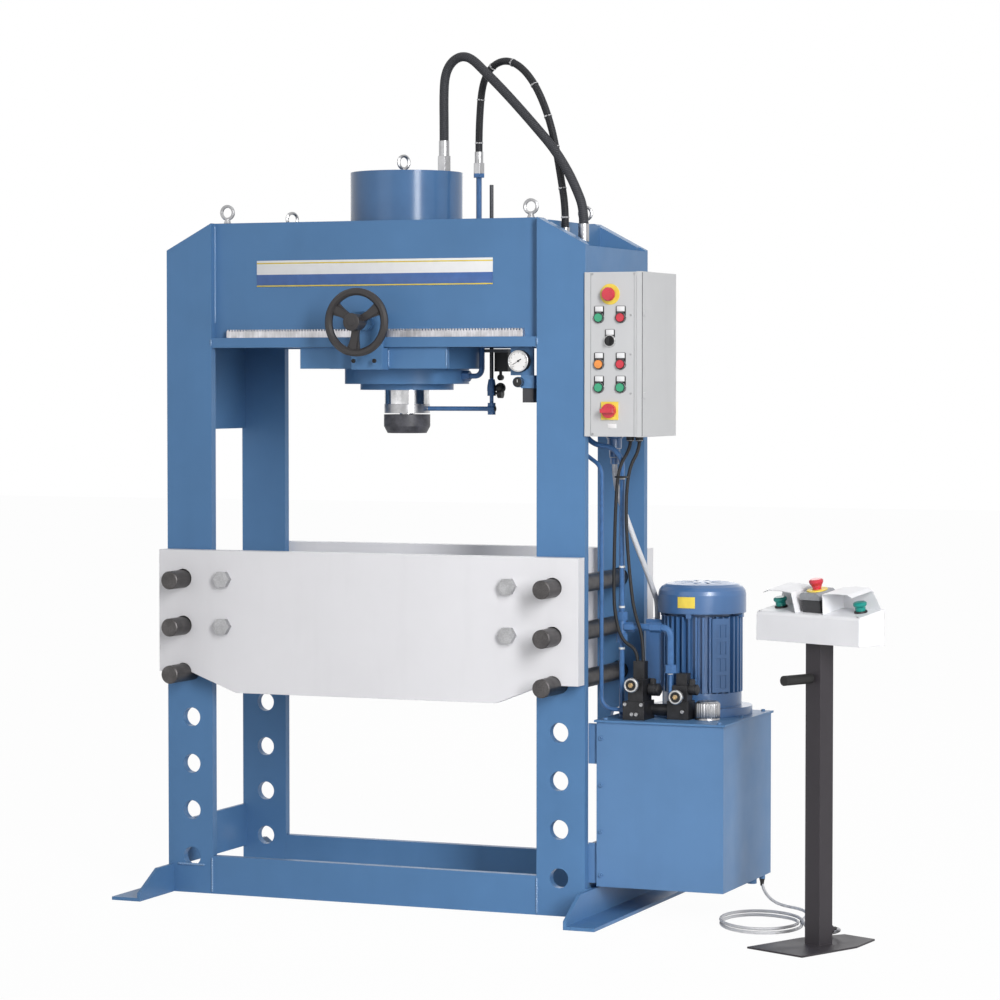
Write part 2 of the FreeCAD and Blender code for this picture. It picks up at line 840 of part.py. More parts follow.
# rod and piston in one: the piston stops under the cap, the rod ends in a plain spigot
pistonTop = barrelTop - barrelCap - 8
pistonHeight = 90
rodRadius = rodDiameter / 2
spigotFoot = rodShoulder - collarHeight
node("piston_rod", place(turned([
    (0, spigotFoot - neckHeight), (neckDiameter / 2, spigotFoot - neckHeight),
    (neckDiameter / 2, spigotFoot), (spigotDiameter / 2, spigotFoot),
    (spigotDiameter / 2, rodShoulder), (rodRadius, rodShoulder),
    (rodRadius, pistonTop - pistonHeight), (boreRadius - slideFit, pistonTop - pistonHeight),
    (boreRadius - slideFit, pistonTop), (0, pistonTop)]), pressX, pressY, 0))

node("press_head", place(turned([
    (0, headFoot), (headFace / 2, headFoot), (headDiameter / 2, headFoot + headTaper),
    (headDiameter / 2, headFoot + headHeight), (0, headFoot + headHeight)]),
    pressX, pressY, 0))

# stroke follower: ring on the spigot, arm, eye, upright rod and its stop collar
armHeight = rodShoulder - armDrop
stopCollarFoot = rodShoulder + stopCollarRise
followerTop = barrelTop - followerDrop
ring = tube(rodDiameter + 2, spigotDiameter, pressX, pressY, spigotFoot, collarHeight)
armStart = pressX + rodDiameter / 2 - 3
followerX = pressX + followerOffset
arm = bar(armDiameter, armStart, pressY, armHeight, followerOffset - rodDiameter / 2 + 3, "x")
eye = bar(armDiameter * 1.7, followerX, pressY, armHeight - 18, 36)
upRod = bar(followerRod, followerX, pressY, armHeight, followerTop - armHeight)
stop = bar(stopCollar, followerX, pressY, stopCollarFoot, stopCollarHeight)
stopScrew = bar(8, followerX + 6, pressY, stopCollarFoot + 8, 18, "x")
stopKnob = bar(30, followerX + 22, pressY, stopCollarFoot + 8, 14, "x")
node("stroke_follower", fuse(ring, arm, eye, upRod, stop, stopScrew, stopKnob))

# limit switch on its bracket, with the guide hole for the follower rod
bracketFoot = carriageTop - 14
switchX = followerX + 1
armFoot = block(pressX + carriageDisc / 2 - 14, pressY + 6, bracketFoot, 42, 36, 10)
armTip = block(followerX - 15, pressY - 14, bracketFoot, 72, 56, 10)
discEdge = bar(carriageDisc, pressX, pressY, bracketFoot - 1, 12)
guideArm = cut(fuse(armFoot, armTip), discEdge)
guideHole = bar(followerRod + 0.6, followerX, pressY, bracketFoot - 1, 12)
switchCase = block(switchX + 3, pressY + 12, bracketFoot - switchHeight, switchWidth,
                   switchDepth, switchHeight)
lever = bar(9, switchX + 18, pressY + 26, bracketFoot - switchHeight - 14, 15)
roller = bar(18, switchX + 18, pressY + 20, bracketFoot - switchHeight - 18, 12, "y")
node("stroke_switch", cut(fuse(guideArm, switchCase, lever, roller), guideHole))

# handwheel bracket: a front plate clear of the rack, two cheeks down to the apron
bracketFront = apronFront - bracketReach
bracketLow = carriageFoot - 3
cheekDepth = bracketReach - bracketPlate
face = block(pressX - bracketWidth / 2, bracketFront, bracketLow, bracketWidth, bracketPlate,
             bracketTop - bracketLow)
cheeks = [block(pressX + x, bracketFront + bracketPlate, bracketLow, 10, cheekDepth,
                carriageTop - 2 - bracketLow)
          for x in (-bracketWidth / 2, bracketWidth / 2 - 10)]
bossEnd = bracketFront + bracketPlate
boss = bar(bearingBoss, pressX, bossEnd - bearingLength, axleHeight, bearingLength, "y")
shaftHole = bar(shaftDiameter + slideFit * 2, pressX, bossEnd - bearingLength - 1, axleHeight,
                bearingLength + 2, "y")
node("wheel_bracket", cut(fuse(face, boss, *cheeks), shaftHole))


# ---------------------------------------------------------------- handwheel

def spoke(angle):
    # a flat cast spoke from the hub to the rim
    reach = wheelDiameter / 2 - wheelRim / 2
    turn = Rotation(Vector(0, 1, 0), -angle)
    lift = turn.multVec(Vector(0, 0, -11))
    return block(pressX + lift.x, wheelBack - 16, axleHeight + lift.z, reach, 12, 22, turn)


rimMiddle = wheelDiameter / 2 - wheelRim / 2
rimHalf = wheelRim / 2
rimCut = wheelRim * 0.21
rimProfile = [
    (rimMiddle - rimHalf, -rimCut), (rimMiddle - rimCut, -rimHalf),
    (rimMiddle + rimCut, -rimHalf), (rimMiddle + rimHalf, -rimCut),
    (rimMiddle + rimHalf, rimCut), (rimMiddle + rimCut, rimHalf),
    (rimMiddle - rimCut, rimHalf), (rimMiddle - rimHalf, rimCut)]
rim = place(turned(rimProfile), pressX, wheelBack - 12, axleHeight, turns["y"])
hub = tube(wheelHub, shaftDiameter, pressX, wheelBack - wheelHubLength, axleHeight,
           wheelHubLength, "y")
hubHole = bar(shaftDiameter, pressX, wheelBack - wheelHubLength - 1, axleHeight,
              wheelHubLength + 2, "y")
node("handwheel", cut(fuse(rim, hub, *[spoke(angle) for angle in (30, 150, 262)]), hubHole))


# ---------------------------------------------------------------- gauge and pressure switch

gaugeX = innerEdge - gaugeInset
gaugeY = portalFace + 12
gaugeZ = railFoot - gaugePlateHeight / 2
gaugeBack = block(gaugeX - gaugePlateWidth / 2, gaugeY, railFoot - gaugePlateHeight,
                  gaugePlateWidth, gaugePlate, gaugePlateHeight)
sensorX = gaugeX + 18
sensorTop = railFoot - gaugePlateHeight
sensorBlock = block(gaugeX + 2, gaugeY - 14, sensorTop - 38, 42, 36, 38)
sensorPlug = block(gaugeX + 6, gaugeY - 10, sensorTop - 80, 34, 28, 42)
sensorKnob = bar(30, gaugeX - 2, gaugeY - 32, sensorTop - 20, 20, "y")
sensorStem = bar(16, gaugeX + 6, gaugeY - 16, sensorTop - 20, 16, "y")
node("gauge_bracket", fuse(gaugeBack, sensorBlock, sensorPlug, sensorKnob, sensorStem))
node("pressure_gauge", place(turned([
    (0, 0), (gaugeDiameter / 2 - 6, 0), (gaugeDiameter / 2, 8), (gaugeDiameter / 2, gaugeDepth),
    (gaugeDiameter / 2 - 3, gaugeDepth), (gaugeDiameter / 2 - 3, gaugeDepth - 3),
    (0, gaugeDepth - 3)]), gaugeX, gaugeY, gaugeZ, turns["-y"]))


# ---------------------------------------------------------------- tank, lid and pump

tankY = tankSetback
shell = block(tankX, tankY, tankFoot, tankLength, tankDepth, tankTop - tankFoot)
hollow = block(tankX + tankWall, tankY + tankWall, tankFoot + tankWall, tankLength - tankWall * 2,
               tankDepth - tankWall * 2, tankTop - tankFoot)
tabs = [block(halfFrame, tankY + y, z, tankOffset, 8, 118)
        for y in (10, tankDepth - 22) for z in (tankFoot + 8, tankTop - 124)]
glandX = tankX + tankLength - 16
glandY = tankY + tankDepth - 34
drain = bar(28, tankX + tankLength - 30, tankY + tankDepth - 89, tankFoot - 22, 24)
gland = bar(18, glandX, glandY, tankFoot - 14, 16)
node("tank", fuse(cut(shell, hollow), drain, gland, *tabs))

lidX = tankX - lidOverhang
lidY = tankY - lidOverhang
lid = block(lidX, lidY, tankTop, tankLength + lidOverhang * 2, tankDepth + lidOverhang * 2,
            lidPlate)
lidHole = bar(motorShaft + 60, motorX, motorY, tankTop - 1, lidPlate + 2)
node("tank_lid", cut(lid, lidHole))

pumpCollar = pumpDiameter * 1.31
pumpTop = tankTop - 90
pumpFoot = pumpTop - pumpLength
suctionFoot = pumpFoot - suctionLength
pumpTube = tube(pumpCollar, pumpCollar - 20, motorX, motorY, pumpTop, 90)
pumpBody = cut(bar(pumpDiameter, motorX, motorY, pumpFoot, pumpLength),
               bar(motorShaft + 4, motorX, motorY, pumpTop - 40, 60))
pumpFlange = tube(pumpCollar, motorShaft + 30, motorX, motorY, pumpTop - 8, 8)
suction = bar(pumpDiameter * 0.32, motorX, motorY, suctionFoot, suctionLength + 2)
strainer = bar(strainerDiameter, motorX, motorY, suctionFoot - 30, 60)
node("pump", fuse(pumpTube, pumpBody, pumpFlange, suction, strainer))


# ---------------------------------------------------------------- motor

flangeTop = lidTop + motorFlangeHeight
finFoot = flangeTop + motorShieldHeight
finTop = finFoot + motorFinHeight
coverFoot = finTop + coverLift


def finRing():
    # cooling fins as one star-shaped section, drawn up along the motor
    step = math.tau / finCount
    inner = float(motorBody) / 2
    outer = float(motorFin) / 2
    points = []
    for k in range(finCount):
        middle = k * step
        for radius, offset in ((inner, -0.22), (outer, -0.13), (outer, 0.13), (inner, 0.22)):
            angle = middle + offset * step
            points.append(Vector(radius * math.cos(angle), radius * math.sin(angle), 0))
    points.append(points[0])
    return Part.Face(Part.makePolygon(points)).extrude(Vector(0, 0, float(motorFinHeight)))


fins = place(formed(finRing()), motorX, motorY, finFoot)
lowerShield = bar(motorShield, motorX, motorY, flangeTop, motorShieldHeight)
mountFlange = bar(motorFlange, motorX, motorY, lidTop, motorFlangeHeight)
upperShield = bar(motorBody - 6, motorX, motorY, finTop, 12)
pad = block(motorX - 19.8, motorY - 19.8, finFoot + 4, 125, 56, motorFinHeight - 8,
            Rotation(Vector(0, 0, 1), -45))
# shallow cast pockets in the pad's face, in two columns
padTurn = Rotation(Vector(0, 0, 1), -45)
padPockets = []
for column in (-17, 1):
    corner = padTurn.multVec(Vector(122.5, column, 0))
    for share in (0.07, 0.29, 0.51, 0.73):
        padPockets.append(block(motorX + corner.x, motorY + corner.y,
                                finFoot + motorFinHeight * share, 10, 16,
                                motorFinHeight * 0.17, padTurn))
terminalBox = block(motorX - 160, motorY - 50, finTop - 214, 76, 120, 200)
lugs = [block(motorX - 131, motorY - 8, finTop - 4, 262, 16, coverLift + 14),
        block(motorX - 8, motorY - 131, finTop - 4, 16, 262, coverLift + 14)]
coverRadius = coverDiameter / 2
lugLimit = bar(coverDiameter - coverWall * 2 - 0.4, motorX, motorY, finTop - 6, coverLift + 24)
lugCross = doc.addObject("Part::MultiCommon", "Lugs")
lugCross.Shapes = [fuse(*lugs), lugLimit]
rotorSpace = bar(motorBore, motorX, motorY, flangeTop, finTop - flangeTop - 14)
shaftBore = bar(motorShaft + slideFit * 2, motorX, motorY, lidTop - 1, finTop - lidTop + 20)
node("motor_housing", cut(
    fuse(mountFlange, lowerShield, fins, upperShield, pad, terminalBox, lugCross),
    rotorSpace, shaftBore, *padPockets))

fanFoot = finTop + 22
shaftFoot = tankTop - 126
rotorDrum = bar(motorBore - 3, motorX, motorY, flangeTop + 40, rotorLength)
rotorShaft = bar(motorShaft, motorX, motorY, shaftFoot, fanFoot + 30 - shaftFoot)
fanPlate = bar(fanDiameter, motorX, motorY, fanFoot, 4)
blades = [block(motorX, motorY - 2, fanFoot + 4, fanDiameter * 0.48, 4, 34,
                Rotation(Vector(0, 0, 1), angle)) for angle in range(0, 360, 60)]
node("motor_rotor", fuse(rotorDrum, rotorShaft, fanPlate, *blades))

coverTop = coverFoot + coverHeight
coverBend = coverTop - coverShoulder
coverCrown = [(share, math.sqrt(1 - share * share)) for share in (1, 0.94, 0.77, 0.5, 0)]
domeWidth = coverRadius - coverFace / 2
outside = [(coverFace / 2 + domeWidth * u, coverBend + coverShoulder * v) for u, v in coverCrown]
inside = [(coverFace / 2 + (domeWidth - coverWall) * u,
           coverBend + (coverShoulder - coverWall) * v) for u, v in coverCrown]
cover = place(turned(
    [(coverRadius - coverWall, coverFoot), (coverRadius, coverFoot)] + outside
    + [(0, coverTop), (0, coverTop - coverWall)] + inside[::-1]), motorX, motorY, 0)
slots = [block(motorX, motorY - 5, coverTop - 6, 82, 10, 12, Rotation(Vector(0, 0, 1), angle))
         for angle in range(0, 360, 30)]
middleDisc = bar(60, motorX, motorY, coverTop - 7, 14)
slotSet = cut(fuse(*slots), middleDisc)
node("motor_fan_cover", cut(cover, slotSet))


# ---------------------------------------------------------------- valves, cap and pipes

riserX = tankX + 42
riserY = tankSetback + 100
blockAX = tankX + 70
blockAY = tankSetback + 30
blockBX = tankX + 186
blockBY = tankSetback + 90


def valveStack(x, y, width, depth, body, knobRise, coil):
    # manifold, valve body with its adjusting knob to the front, and the connector on top
    base = block(x, y, lidTop, width, depth, manifoldHeight)
    shell = block(x + 14, y + 6, lidTop + manifoldHeight, width - 20, depth - 12, body)
    neck = bar(26, x + width * 0.55, y - 16, lidTop + knobRise, 40, "y")
    knob = bar(valveKnob, x + width * 0.55, y - 30, lidTop + knobRise, 14, "y")
    plug = block(x + 20, y + depth * 0.4, lidTop + manifoldHeight + body, width - 32, 32, coil)
    return fuse(base, shell, neck, knob, plug)


bridgeLength = blockBX - blockAX - manifoldWidth
bridge = bar(34, blockAX + manifoldWidth, blockBY + 24, lidTop + 26, bridgeLength, "x")
stackA = valveStack(blockAX, blockAY, manifoldWidth, manifoldDepth, 64, 105, 52)
stackB = valveStack(blockBX, blockBY, manifoldWidth, manifoldDepth - 30, 46, 69, 34)
node("valve_blocks", group(fuse(stackA, bridge, stackB)))

capX = tankX + 298
capY = tankY + 130
node("filler_cap", place(turned([
    (0, 0), (capDiameter / 2 - 3, 0), (capDiameter / 2 - 3, 6), (capDiameter / 2, 6),
    (capDiameter / 2, capHeight - 5), (capDiameter / 2 - 5, capHeight), (0, capHeight)]),
    capX, capY, lidTop))

hoseX = halfFrame - 43
hoseY = crownBack + 42
slimX = innerEdge + crossInset + crossPlate + 15
slimY = crownBack + 87
crimpFoot = frameHeight - 66
teeHeight = lidTop + 268
riserRoute = [
    (hoseX, hoseY, crimpFoot), (hoseX, hoseY, sideUpperFoot - 30),
    (riserX, riserY, sideUpperFoot - 48), (riserX, riserY, lidTop)]
branchX = blockBX + 7
thickFoot = lidTop + 158
branchRoute = [(riserX + 4, riserY, teeHeight), (branchX, riserY, teeHeight),
               (branchX, riserY, thickFoot)]
pilotX = halfFrame + 18
pilotY = blockAY + 40
pilotRoute = [
    (slimX, slimY, crimpFoot), (slimX, slimY, sideUpperFoot - 20),
    (pilotX, pilotY, sideUpperFoot - 100), (pilotX, pilotY, lidTop + 26),
    (blockAX, pilotY, lidTop + 26)]
riser = cord("riser pipe", riserRoute, riserPipe, bend=60)
tees = [hexagon(30, riserX, riserY, teeHeight + 18, 26),
        bar(26, riserX, riserY, teeHeight - 22, 44),
        hexagon(30, riserX, riserY, teeHeight - 46, 26),
        hexagon(26, riserX + 10, riserY, teeHeight, 30, "x"),
        hexagon(26, branchX - 62, riserY, teeHeight, 34, "x")]
branch = cord("branch pipe", branchRoute, branchPipe, bend=26)
branchNut = hexagon(32, branchX, riserY, thickFoot - 22, 24)
branchTail = bar(pilotPipe, branchX, riserY, lidTop + manifoldHeight,
                 thickFoot - lidTop - manifoldHeight)
wideSleeve = bar(hoseWide + 4, hoseX, hoseY, crimpFoot - 4, 52)
slimSleeve = bar(hoseSlim + 4, slimX, slimY, crimpFoot - 4, 44)
pilot = cord("pilot pipe", pilotRoute, pilotPipe, bend=44)
pilotNut = hexagon(22, blockAX - 22, pilotY, lidTop + 26, 22, "x")
node("oil_pipes", group(fuse(riser, branch, branchNut, branchTail, wideSleeve, *tees),
                        fuse(pilot, slimSleeve, pilotNut)))

# lower port pipe of the cylinder, with the hose fitting at its top, and the upper port
bossX = pressX + glandFlange / 2
portZ = carriageFoot - 22
pipeX = pressX + carriageDisc / 2 + 13
pipeY = pressY - 8
slimTopX = pressX + 242
slimTopZ = barrelTop - 20
portRoute = [
    (bossX + 12, pipeY, portZ), (pipeX, pipeY, portZ), (pipeX, pipeY, railTop + 80),
    (slimTopX, pipeY, railTop + 220), (slimTopX, pipeY, slimTopZ)]
portPipe = cord("cylinder pipe", portRoute, cylinderPipe, bend=24)
portNut = cut(hexagon(28, bossX - 12, pipeY, portZ, 34, "x"),
              bar(glandFlange, pressX, pressY, carriageFoot - glandFlangeHeight,
                  glandFlangeHeight))
slimNut = hexagon(30, slimTopX, pipeY, slimTopZ, 44)
slimCrimp = bar(hoseSlim + 4, slimTopX, pipeY, slimTopZ + 44, 34)
wideX = pressX + 141
wideY = pressY - 40
wideNut = hexagon(36, wideX, wideY, barrelTop, 46)
wideCrimp = bar(hoseWide + 4, wideX, wideY, barrelTop + 46, 46)
node("cylinder_pipes", group(fuse(portPipe, portNut, slimNut, slimCrimp),
                             fuse(wideNut, wideCrimp)))


# ---------------------------------------------------------------- control cabinet

cabX = halfFrame
cabY = -portalFace - cabinetProud
cabinetTop = cabinetFoot + cabinetHeight
caseBlock = block(cabX, cabY, cabinetFoot, cabinetWidth, cabinetDepth, cabinetHeight)
caseHollow = block(cabX + cabinetWall, cabY + cabinetWall, cabinetFoot + cabinetWall,
                   cabinetWidth, cabinetDepth - cabinetWall * 2,
                   cabinetHeight - cabinetWall * 2)
panelX = cabX + cabinetWidth / 2 - 1
panelY = cabY
upperRow = cabinetTop - 132
buttonPlaces = {
    "pump_start_button": (-0.5, 0), "pump_stop_button": (0.5, 0),
    "reset_button": (-0.5, 2), "ram_stop_button": (0.5, 2),
    "ram_down_button": (-0.5, 3), "ram_up_button": (0.5, 3)}
holeDiameter = buttonDiameter + buttonPlay * 2


def onPanel(column, row):
    return panelX + buttonPitchX * column, upperRow - buttonPitchZ * row


bezels = []
openings = []
for column, row in list(buttonPlaces.values()) + [(0, 1)]:
    x, z = onPanel(column, row)
    bezels.append(bar(holeDiameter + bezelWall * 2, x, panelY - bezelRise, z, bezelRise, "y"))
    openings.append(bar(holeDiameter, x, panelY - bezelRise - 1, z, bezelRise + 6, "y"))
stopX, stopZ = onPanel(0, -1)
mainX, mainZ = onPanel(0, 4)
bezels.append(bar(stopRing, stopX, panelY - stopRingPlate, stopZ, stopRingPlate, "y"))
openings.append(bar(holeDiameter, stopX, panelY - 10, stopZ, 20, "y"))
bezels.append(block(mainX - switchPlate / 2, panelY - 4, mainZ - switchPlate / 2, switchPlate, 4,
                    switchPlate))
openings.append(bar(16 + buttonPlay * 2, mainX, panelY - 10, mainZ, 20, "y"))
outletX = cabX + 36
outletY = cabY + 158
leadX = cabX + 112
leadY = cabY + 120
outlets = [bar(40, outletX, outletY, cabinetFoot - 38, 38),
           bar(30, outletX, outletY, cabinetFoot - 64, 27),
           bar(22, outletX, outletY, cabinetFoot - 84, 21)]
outlets += [bar(22, leadX + x, leadY + 2, cabinetFoot - 14, 14) for x in (-14, 14)]
node("cabinet", fuse(cut(fuse(cut(caseBlock, caseHollow), *bezels), *openings), *outlets))

doorX = cabX + cabinetWidth + doorGap
doorPan = block(doorX, cabY - 1, cabinetFoot - 1, doorDepth, doorLength, cabinetHeight + 2)
doorHollow = block(doorX - 1, cabY + 2, cabinetFoot + 2, doorDepth - 1, doorLength - 6,
                   cabinetHeight - 4)
lockZ = [cabinetFoot + cabinetHeight * share for share in (0.25, 0.75)]
locks = [bar(20, doorX + doorDepth - 2, cabY + 22, z, 4, "x") for z in lockZ]
node("cabinet_door", fuse(cut(doorPan, doorHollow), *locks))

backPlate = block(cabX + cabinetWall + 6, cabY + 30, cabinetFoot + 30, 3, cabinetDepth - 60,
                  cabinetHeight - 60)
standOffs = [block(cabX + cabinetWall, cabY + y, cabinetFoot + z, 8, 12, 12)
             for y in (36, cabinetDepth - 48) for z in (36, cabinetHeight - 48)]
plateX = cabX + cabinetWall + 9
breakerFoot = cabinetTop - breakerDrop - breakerHeight
contactorFoot = breakerFoot - contactorGap - contactorHeight
gearStart = cabinetDepth * 0.17
gearPitch = cabinetDepth * 0.175
contactors = [block(plateX, cabY + gearStart + gearPitch * k, contactorFoot, gearDepth + 6,
                    gearPitch * 0.8, contactorHeight) for k in range(4)]
terminals = block(plateX, cabY + gearStart, contactorFoot - contactorHeight * 1.95, gearDepth * 0.7,
                  gearPitch * 3.8, contactorHeight / 2)
breaker = block(plateX, cabY + gearStart + 16, breakerFoot, gearDepth, cabinetDepth / 2,
                breakerHeight)
node("switchgear", fuse(backPlate, breaker, terminals, *standOffs, *contactors))


def pushButton(x, z):
    cap = bar(buttonDiameter, x, panelY - bezelRise - 3, z, bezelRise + 6, "y")
    stem = bar(12, x, panelY + 2, z, 26, "y")
    return fuse(cap, stem)


for name, (column, row) in buttonPlaces.items():
    node(name, pushButton(*onPanel(column, row)))

selectorX, selectorZ = onPanel(0, 1)
selectorBase = bar(buttonDiameter, selectorX, panelY - bezelRise - 2, selectorZ, bezelRise + 8,
                   "y")
selectorGrip = block(selectorX - 4, panelY - bezelRise - 14, selectorZ - 11, 8, 12, 22)
node("mode_selector", fuse(selectorBase, selectorGrip))

stopCap = cone(mushroomDiameter - 6, mushroomDiameter, stopX, panelY - mushroomRise, stopZ, 6,
               "y")
stopBody = bar(mushroomDiameter, stopX, panelY - mushroomRise + 6, stopZ, 6, "y")
stopStem = bar(buttonDiameter, stopX, panelY - mushroomRise + 12, stopZ, mushroomRise + 10, "y")
node("cabinet_stop", fuse(stopCap, stopBody, stopStem))

mainDisc = bar(switchKnob, mainX, panelY - 4.3 - 12, mainZ, 12, "y")
mainGrip = block(mainX - switchKnob / 2 + 2, panelY - 34, mainZ - 6, switchKnob - 4, 19, 12)
mainStem = bar(16, mainX, panelY - 6, mainZ, 40, "y")
node("main_switch", fuse(mainDisc, mainGrip, mainStem))


# ---------------------------------------------------------------- two-hand control stand

standRotation = Rotation(Vector(0, 0, 1), standTurn)


def onStand(thing):
    # pieces of the stand are drawn about its post and turned with it
    return place(thing, standX, standY, 0, standRotation)


half = standPost / 2
postGlandHeight = 40
postGlandLength = 25
baseSide = standPlateWidth / 2
baseFront = standPlateShift - standPlateLength / 2
baseBack = standPlateShift + standPlateLength / 2
basePoints = [(-baseSide, baseFront), (baseSide, baseFront), (baseSide, baseBack - 130),
              (baseSide * 0.55, baseBack), (-baseSide * 0.55, baseBack),
              (-baseSide, baseBack - 130)]
base = place(plate(basePoints, standPlate, "XY_Plane"), 0, 0, standPlate / 2)
post = block(-half, -half, standPlate, standPost, standPost, standHeight - standPlate)
postBore = block(-half + standWall, -half + standWall, standPlate, standPost - standWall * 2,
                 standPost - standWall * 2, standHeight)
capPlate = block(-half, -half, standHeight - 6, standPost, standPost, 6)
cableBoss = bar(26, 0, half - 1, postGlandHeight, postGlandLength + 1, "y")
node("stand_post", onStand(fuse(cut(fuse(base, post), postBore), capPlate, cableBoss)))

gripTail = bar(10, 0, -half - 12, gripHeight, 12, "y")
gripBar = bar(gripDiameter, 0, -half - gripLength, gripHeight, gripLength - 10, "y")
node("stand_grip", onStand(fuse(gripTail, gripBar)))

# the box's top slopes down to the front; everything on it is drawn square to that slope
panelFoot = standHeight
panelHalf = panelLength / 2
panelY = panelDepth / 2
panelMiddle = (panelFront + panelBack) / 2
panelSlope = float(panelBack - panelFront) / float(panelDepth)
panelTilt = Rotation(Vector(1, 0, 0), math.degrees(math.atan(panelSlope)))


def onSlope(thing):
    turn = standRotation.multiply(panelTilt)
    return place(thing, standX, standY, panelFoot + panelMiddle, turn)


def panelSection(inset):
    front = panelFront - panelEdge - inset / 2
    ledge = panelFront + panelEdge * panelSlope - inset * 1.1
    return [(-panelY + inset, inset), (panelY - inset, inset),
            (panelY - inset, panelBack - inset * 1.2), (-panelY + panelEdge + inset, ledge),
            (-panelY + panelEdge * 0.3 + inset, front + panelEdge * 0.75),
            (-panelY + inset, front)]


panelBox = place(plate(panelSection(Size(0, "(0)")), panelLength, "YZ_Plane"), 0, 0, panelFoot)
panelHollow = place(plate(panelSection(standWall - 1), panelLength - 4, "YZ_Plane"), 0, 0,
                    panelFoot)
palmX = panelHalf - palmInset
palmY = 4
palmHole = palmDiameter - 14
palmOpenings = [bar(palmHole + buttonPlay * 2, palmX * side, palmY, -6, 12) for side in (-1, 1)]
node("stand_box", cut(onStand(group(panelBox)), onStand(group(panelHollow)),
                      onSlope(group(*palmOpenings))))


def palmButton(side):
    # a mushroom head over a plain stem; it sinks towards the box when pressed
    foot = buttonTravel + 2
    stem = bar(palmHole, palmX * side, palmY, -16, foot + 16)
    neck = bar(palmDiameter * 0.76, palmX * side, palmY, foot, palmRise - 16)
    head = cone(palmDiameter * 0.8, palmDiameter, palmX * side, palmY, foot + palmRise - 18, 5)
    crown = bar(palmDiameter, palmX * side, palmY, foot + palmRise - 13, 6)
    top = cone(palmDiameter, palmDiameter - 8, palmX * side, palmY, foot + palmRise - 7, 3)
    return onSlope(fuse(stem, neck, head, crown, top))


node("left_palm_button", palmButton(-1))
node("right_palm_button", palmButton(1))


def guard(side):
    # bent sheet over each button: a leaning inner wall, a roof with a drooping end, a back wall
    inner = guardInset * side
    bend = (guardInset + guardLean) * side
    middle = (guardInset + guardLean + guardReach * 0.45) * side
    shoulder = (guardInset + guardLean + guardReach - 14) * side
    outer = (guardInset + guardLean + guardReach) * side
    rise = guardHeight
    s = guardSheet
    points = [(inner, 0), (bend, rise), (middle, rise + 4), (shoulder, rise + 3),
              (outer, rise - 4), (outer, rise - 4 - s), (shoulder, rise + 3 - s),
              (middle, rise + 4 - s), (bend + s * side, rise - s), (inner + s * side, 0)]
    depth = panelDepth - 16
    hood = plate(points, depth)
    edge = (panelHalf - 1) * side
    back = [(inner, 0), (edge, 0), (outer, rise - 5), (shoulder, rise + 2), (middle, rise + 3),
            (bend, rise - 1)]
    wall = place(plate(back, s), 0, depth / 2 - s / 2, 0)
    return fuse(hood, wall)


node("stand_guards", onSlope(group(guard(-1), guard(1))))

stopHalf = stopHousing / 2
stopHole = buttonDiameter + buttonPlay * 2
bodyHalf = stopHalf - 3
capFoot = stopHousingHeight * 0.64
housing = block(-bodyHalf, -bodyHalf, 0, stopHousing - 6, stopHousing - 6, capFoot + 1)
housingCap = plate([
    (-stopHalf, capFoot), (stopHalf, capFoot), (stopHalf, stopHousingHeight - 8),
    (stopHalf - 9, stopHousingHeight), (-stopHalf + 9, stopHousingHeight),
    (-stopHalf, stopHousingHeight - 8)], stopHousing)
housingHole = bar(stopHole, 0, 0, 20, stopHousingHeight)
housingRing = bar(58, 0, 0, stopHousingHeight, 3)
node("stand_stop_housing", onSlope(cut(fuse(housing, housingCap, housingRing), housingHole)))

stopTop = stopHousingHeight + 3
stopUnder = stopTop + buttonTravel + 3
standStem = bar(buttonDiameter, 0, 0, stopTop - 20, stopUnder - stopTop + 20)
standNeck = bar(mushroomDiameter * 0.72, 0, 0, stopUnder, 6)
standMushroom = cone(mushroomDiameter - 8, mushroomDiameter, 0, 0, stopUnder + 5, 8)
standCrown = bar(mushroomDiameter, 0, 0, stopUnder + 13, 6)
standTop = cone(mushroomDiameter, mushroomDiameter - 8, 0, 0, stopUnder + 19, 3)
node("stand_stop", onSlope(fuse(standStem, standNeck, standMushroom, standCrown, standTop)))


# ---------------------------------------------------------------- cords

def drape(start, end, profile, drop):
    # route points in the upright plane from start to end, as distance along and rise; the
    # last run drops straight into the end
    x1, y1, z1 = [float(c) for c in start]
    x2, y2, z2 = [float(c) for c in end]
    span = math.hypot(x2 - x1, y2 - y1)
    points = [(x1 + (x2 - x1) * reach / span, y1 + (y2 - y1) * reach / span, z1 + rise)
              for reach, rise in profile]
    return points + [(x2, y2, z2 + drop), (x2, y2, z2)]


# wide hose: from the upper port up and over to the sleeve in the right column
wideStart = (wideX, wideY, barrelTop + 92)
wideEnd = (hoseX, hoseY, crimpFoot + 48)
widePoints = drape(wideStart, wideEnd, [
    (0, 0), (0, 57), (-1, 125), (2, 193), (23, 232), (60, 252), (102, 245), (156, 199),
    (213, 150), (280, 88), (350, 20), (408, -38), (458, -104), (492, -163)], 46)
node("wide_hose", cord("wide hose", widePoints, hoseWide))

# slim hose: from the lower port's pipe, behind the wide hose, to its own sleeve
slimStart = (slimTopX, pipeY, slimTopZ + 78)
slimEnd = (slimX, slimY, crimpFoot + 40)
slimPoints = drape(slimStart, slimEnd, [
    (0, 0), (0, 52), (4, 118), (10, 178), (25, 224), (58, 258), (106, 270), (153, 256),
    (198, 222), (237, 173), (270, 112), (297, 42), (315, -32), (331, -106)], 59)
node("slim_hose", cord("slim hose", slimPoints, hoseSlim))

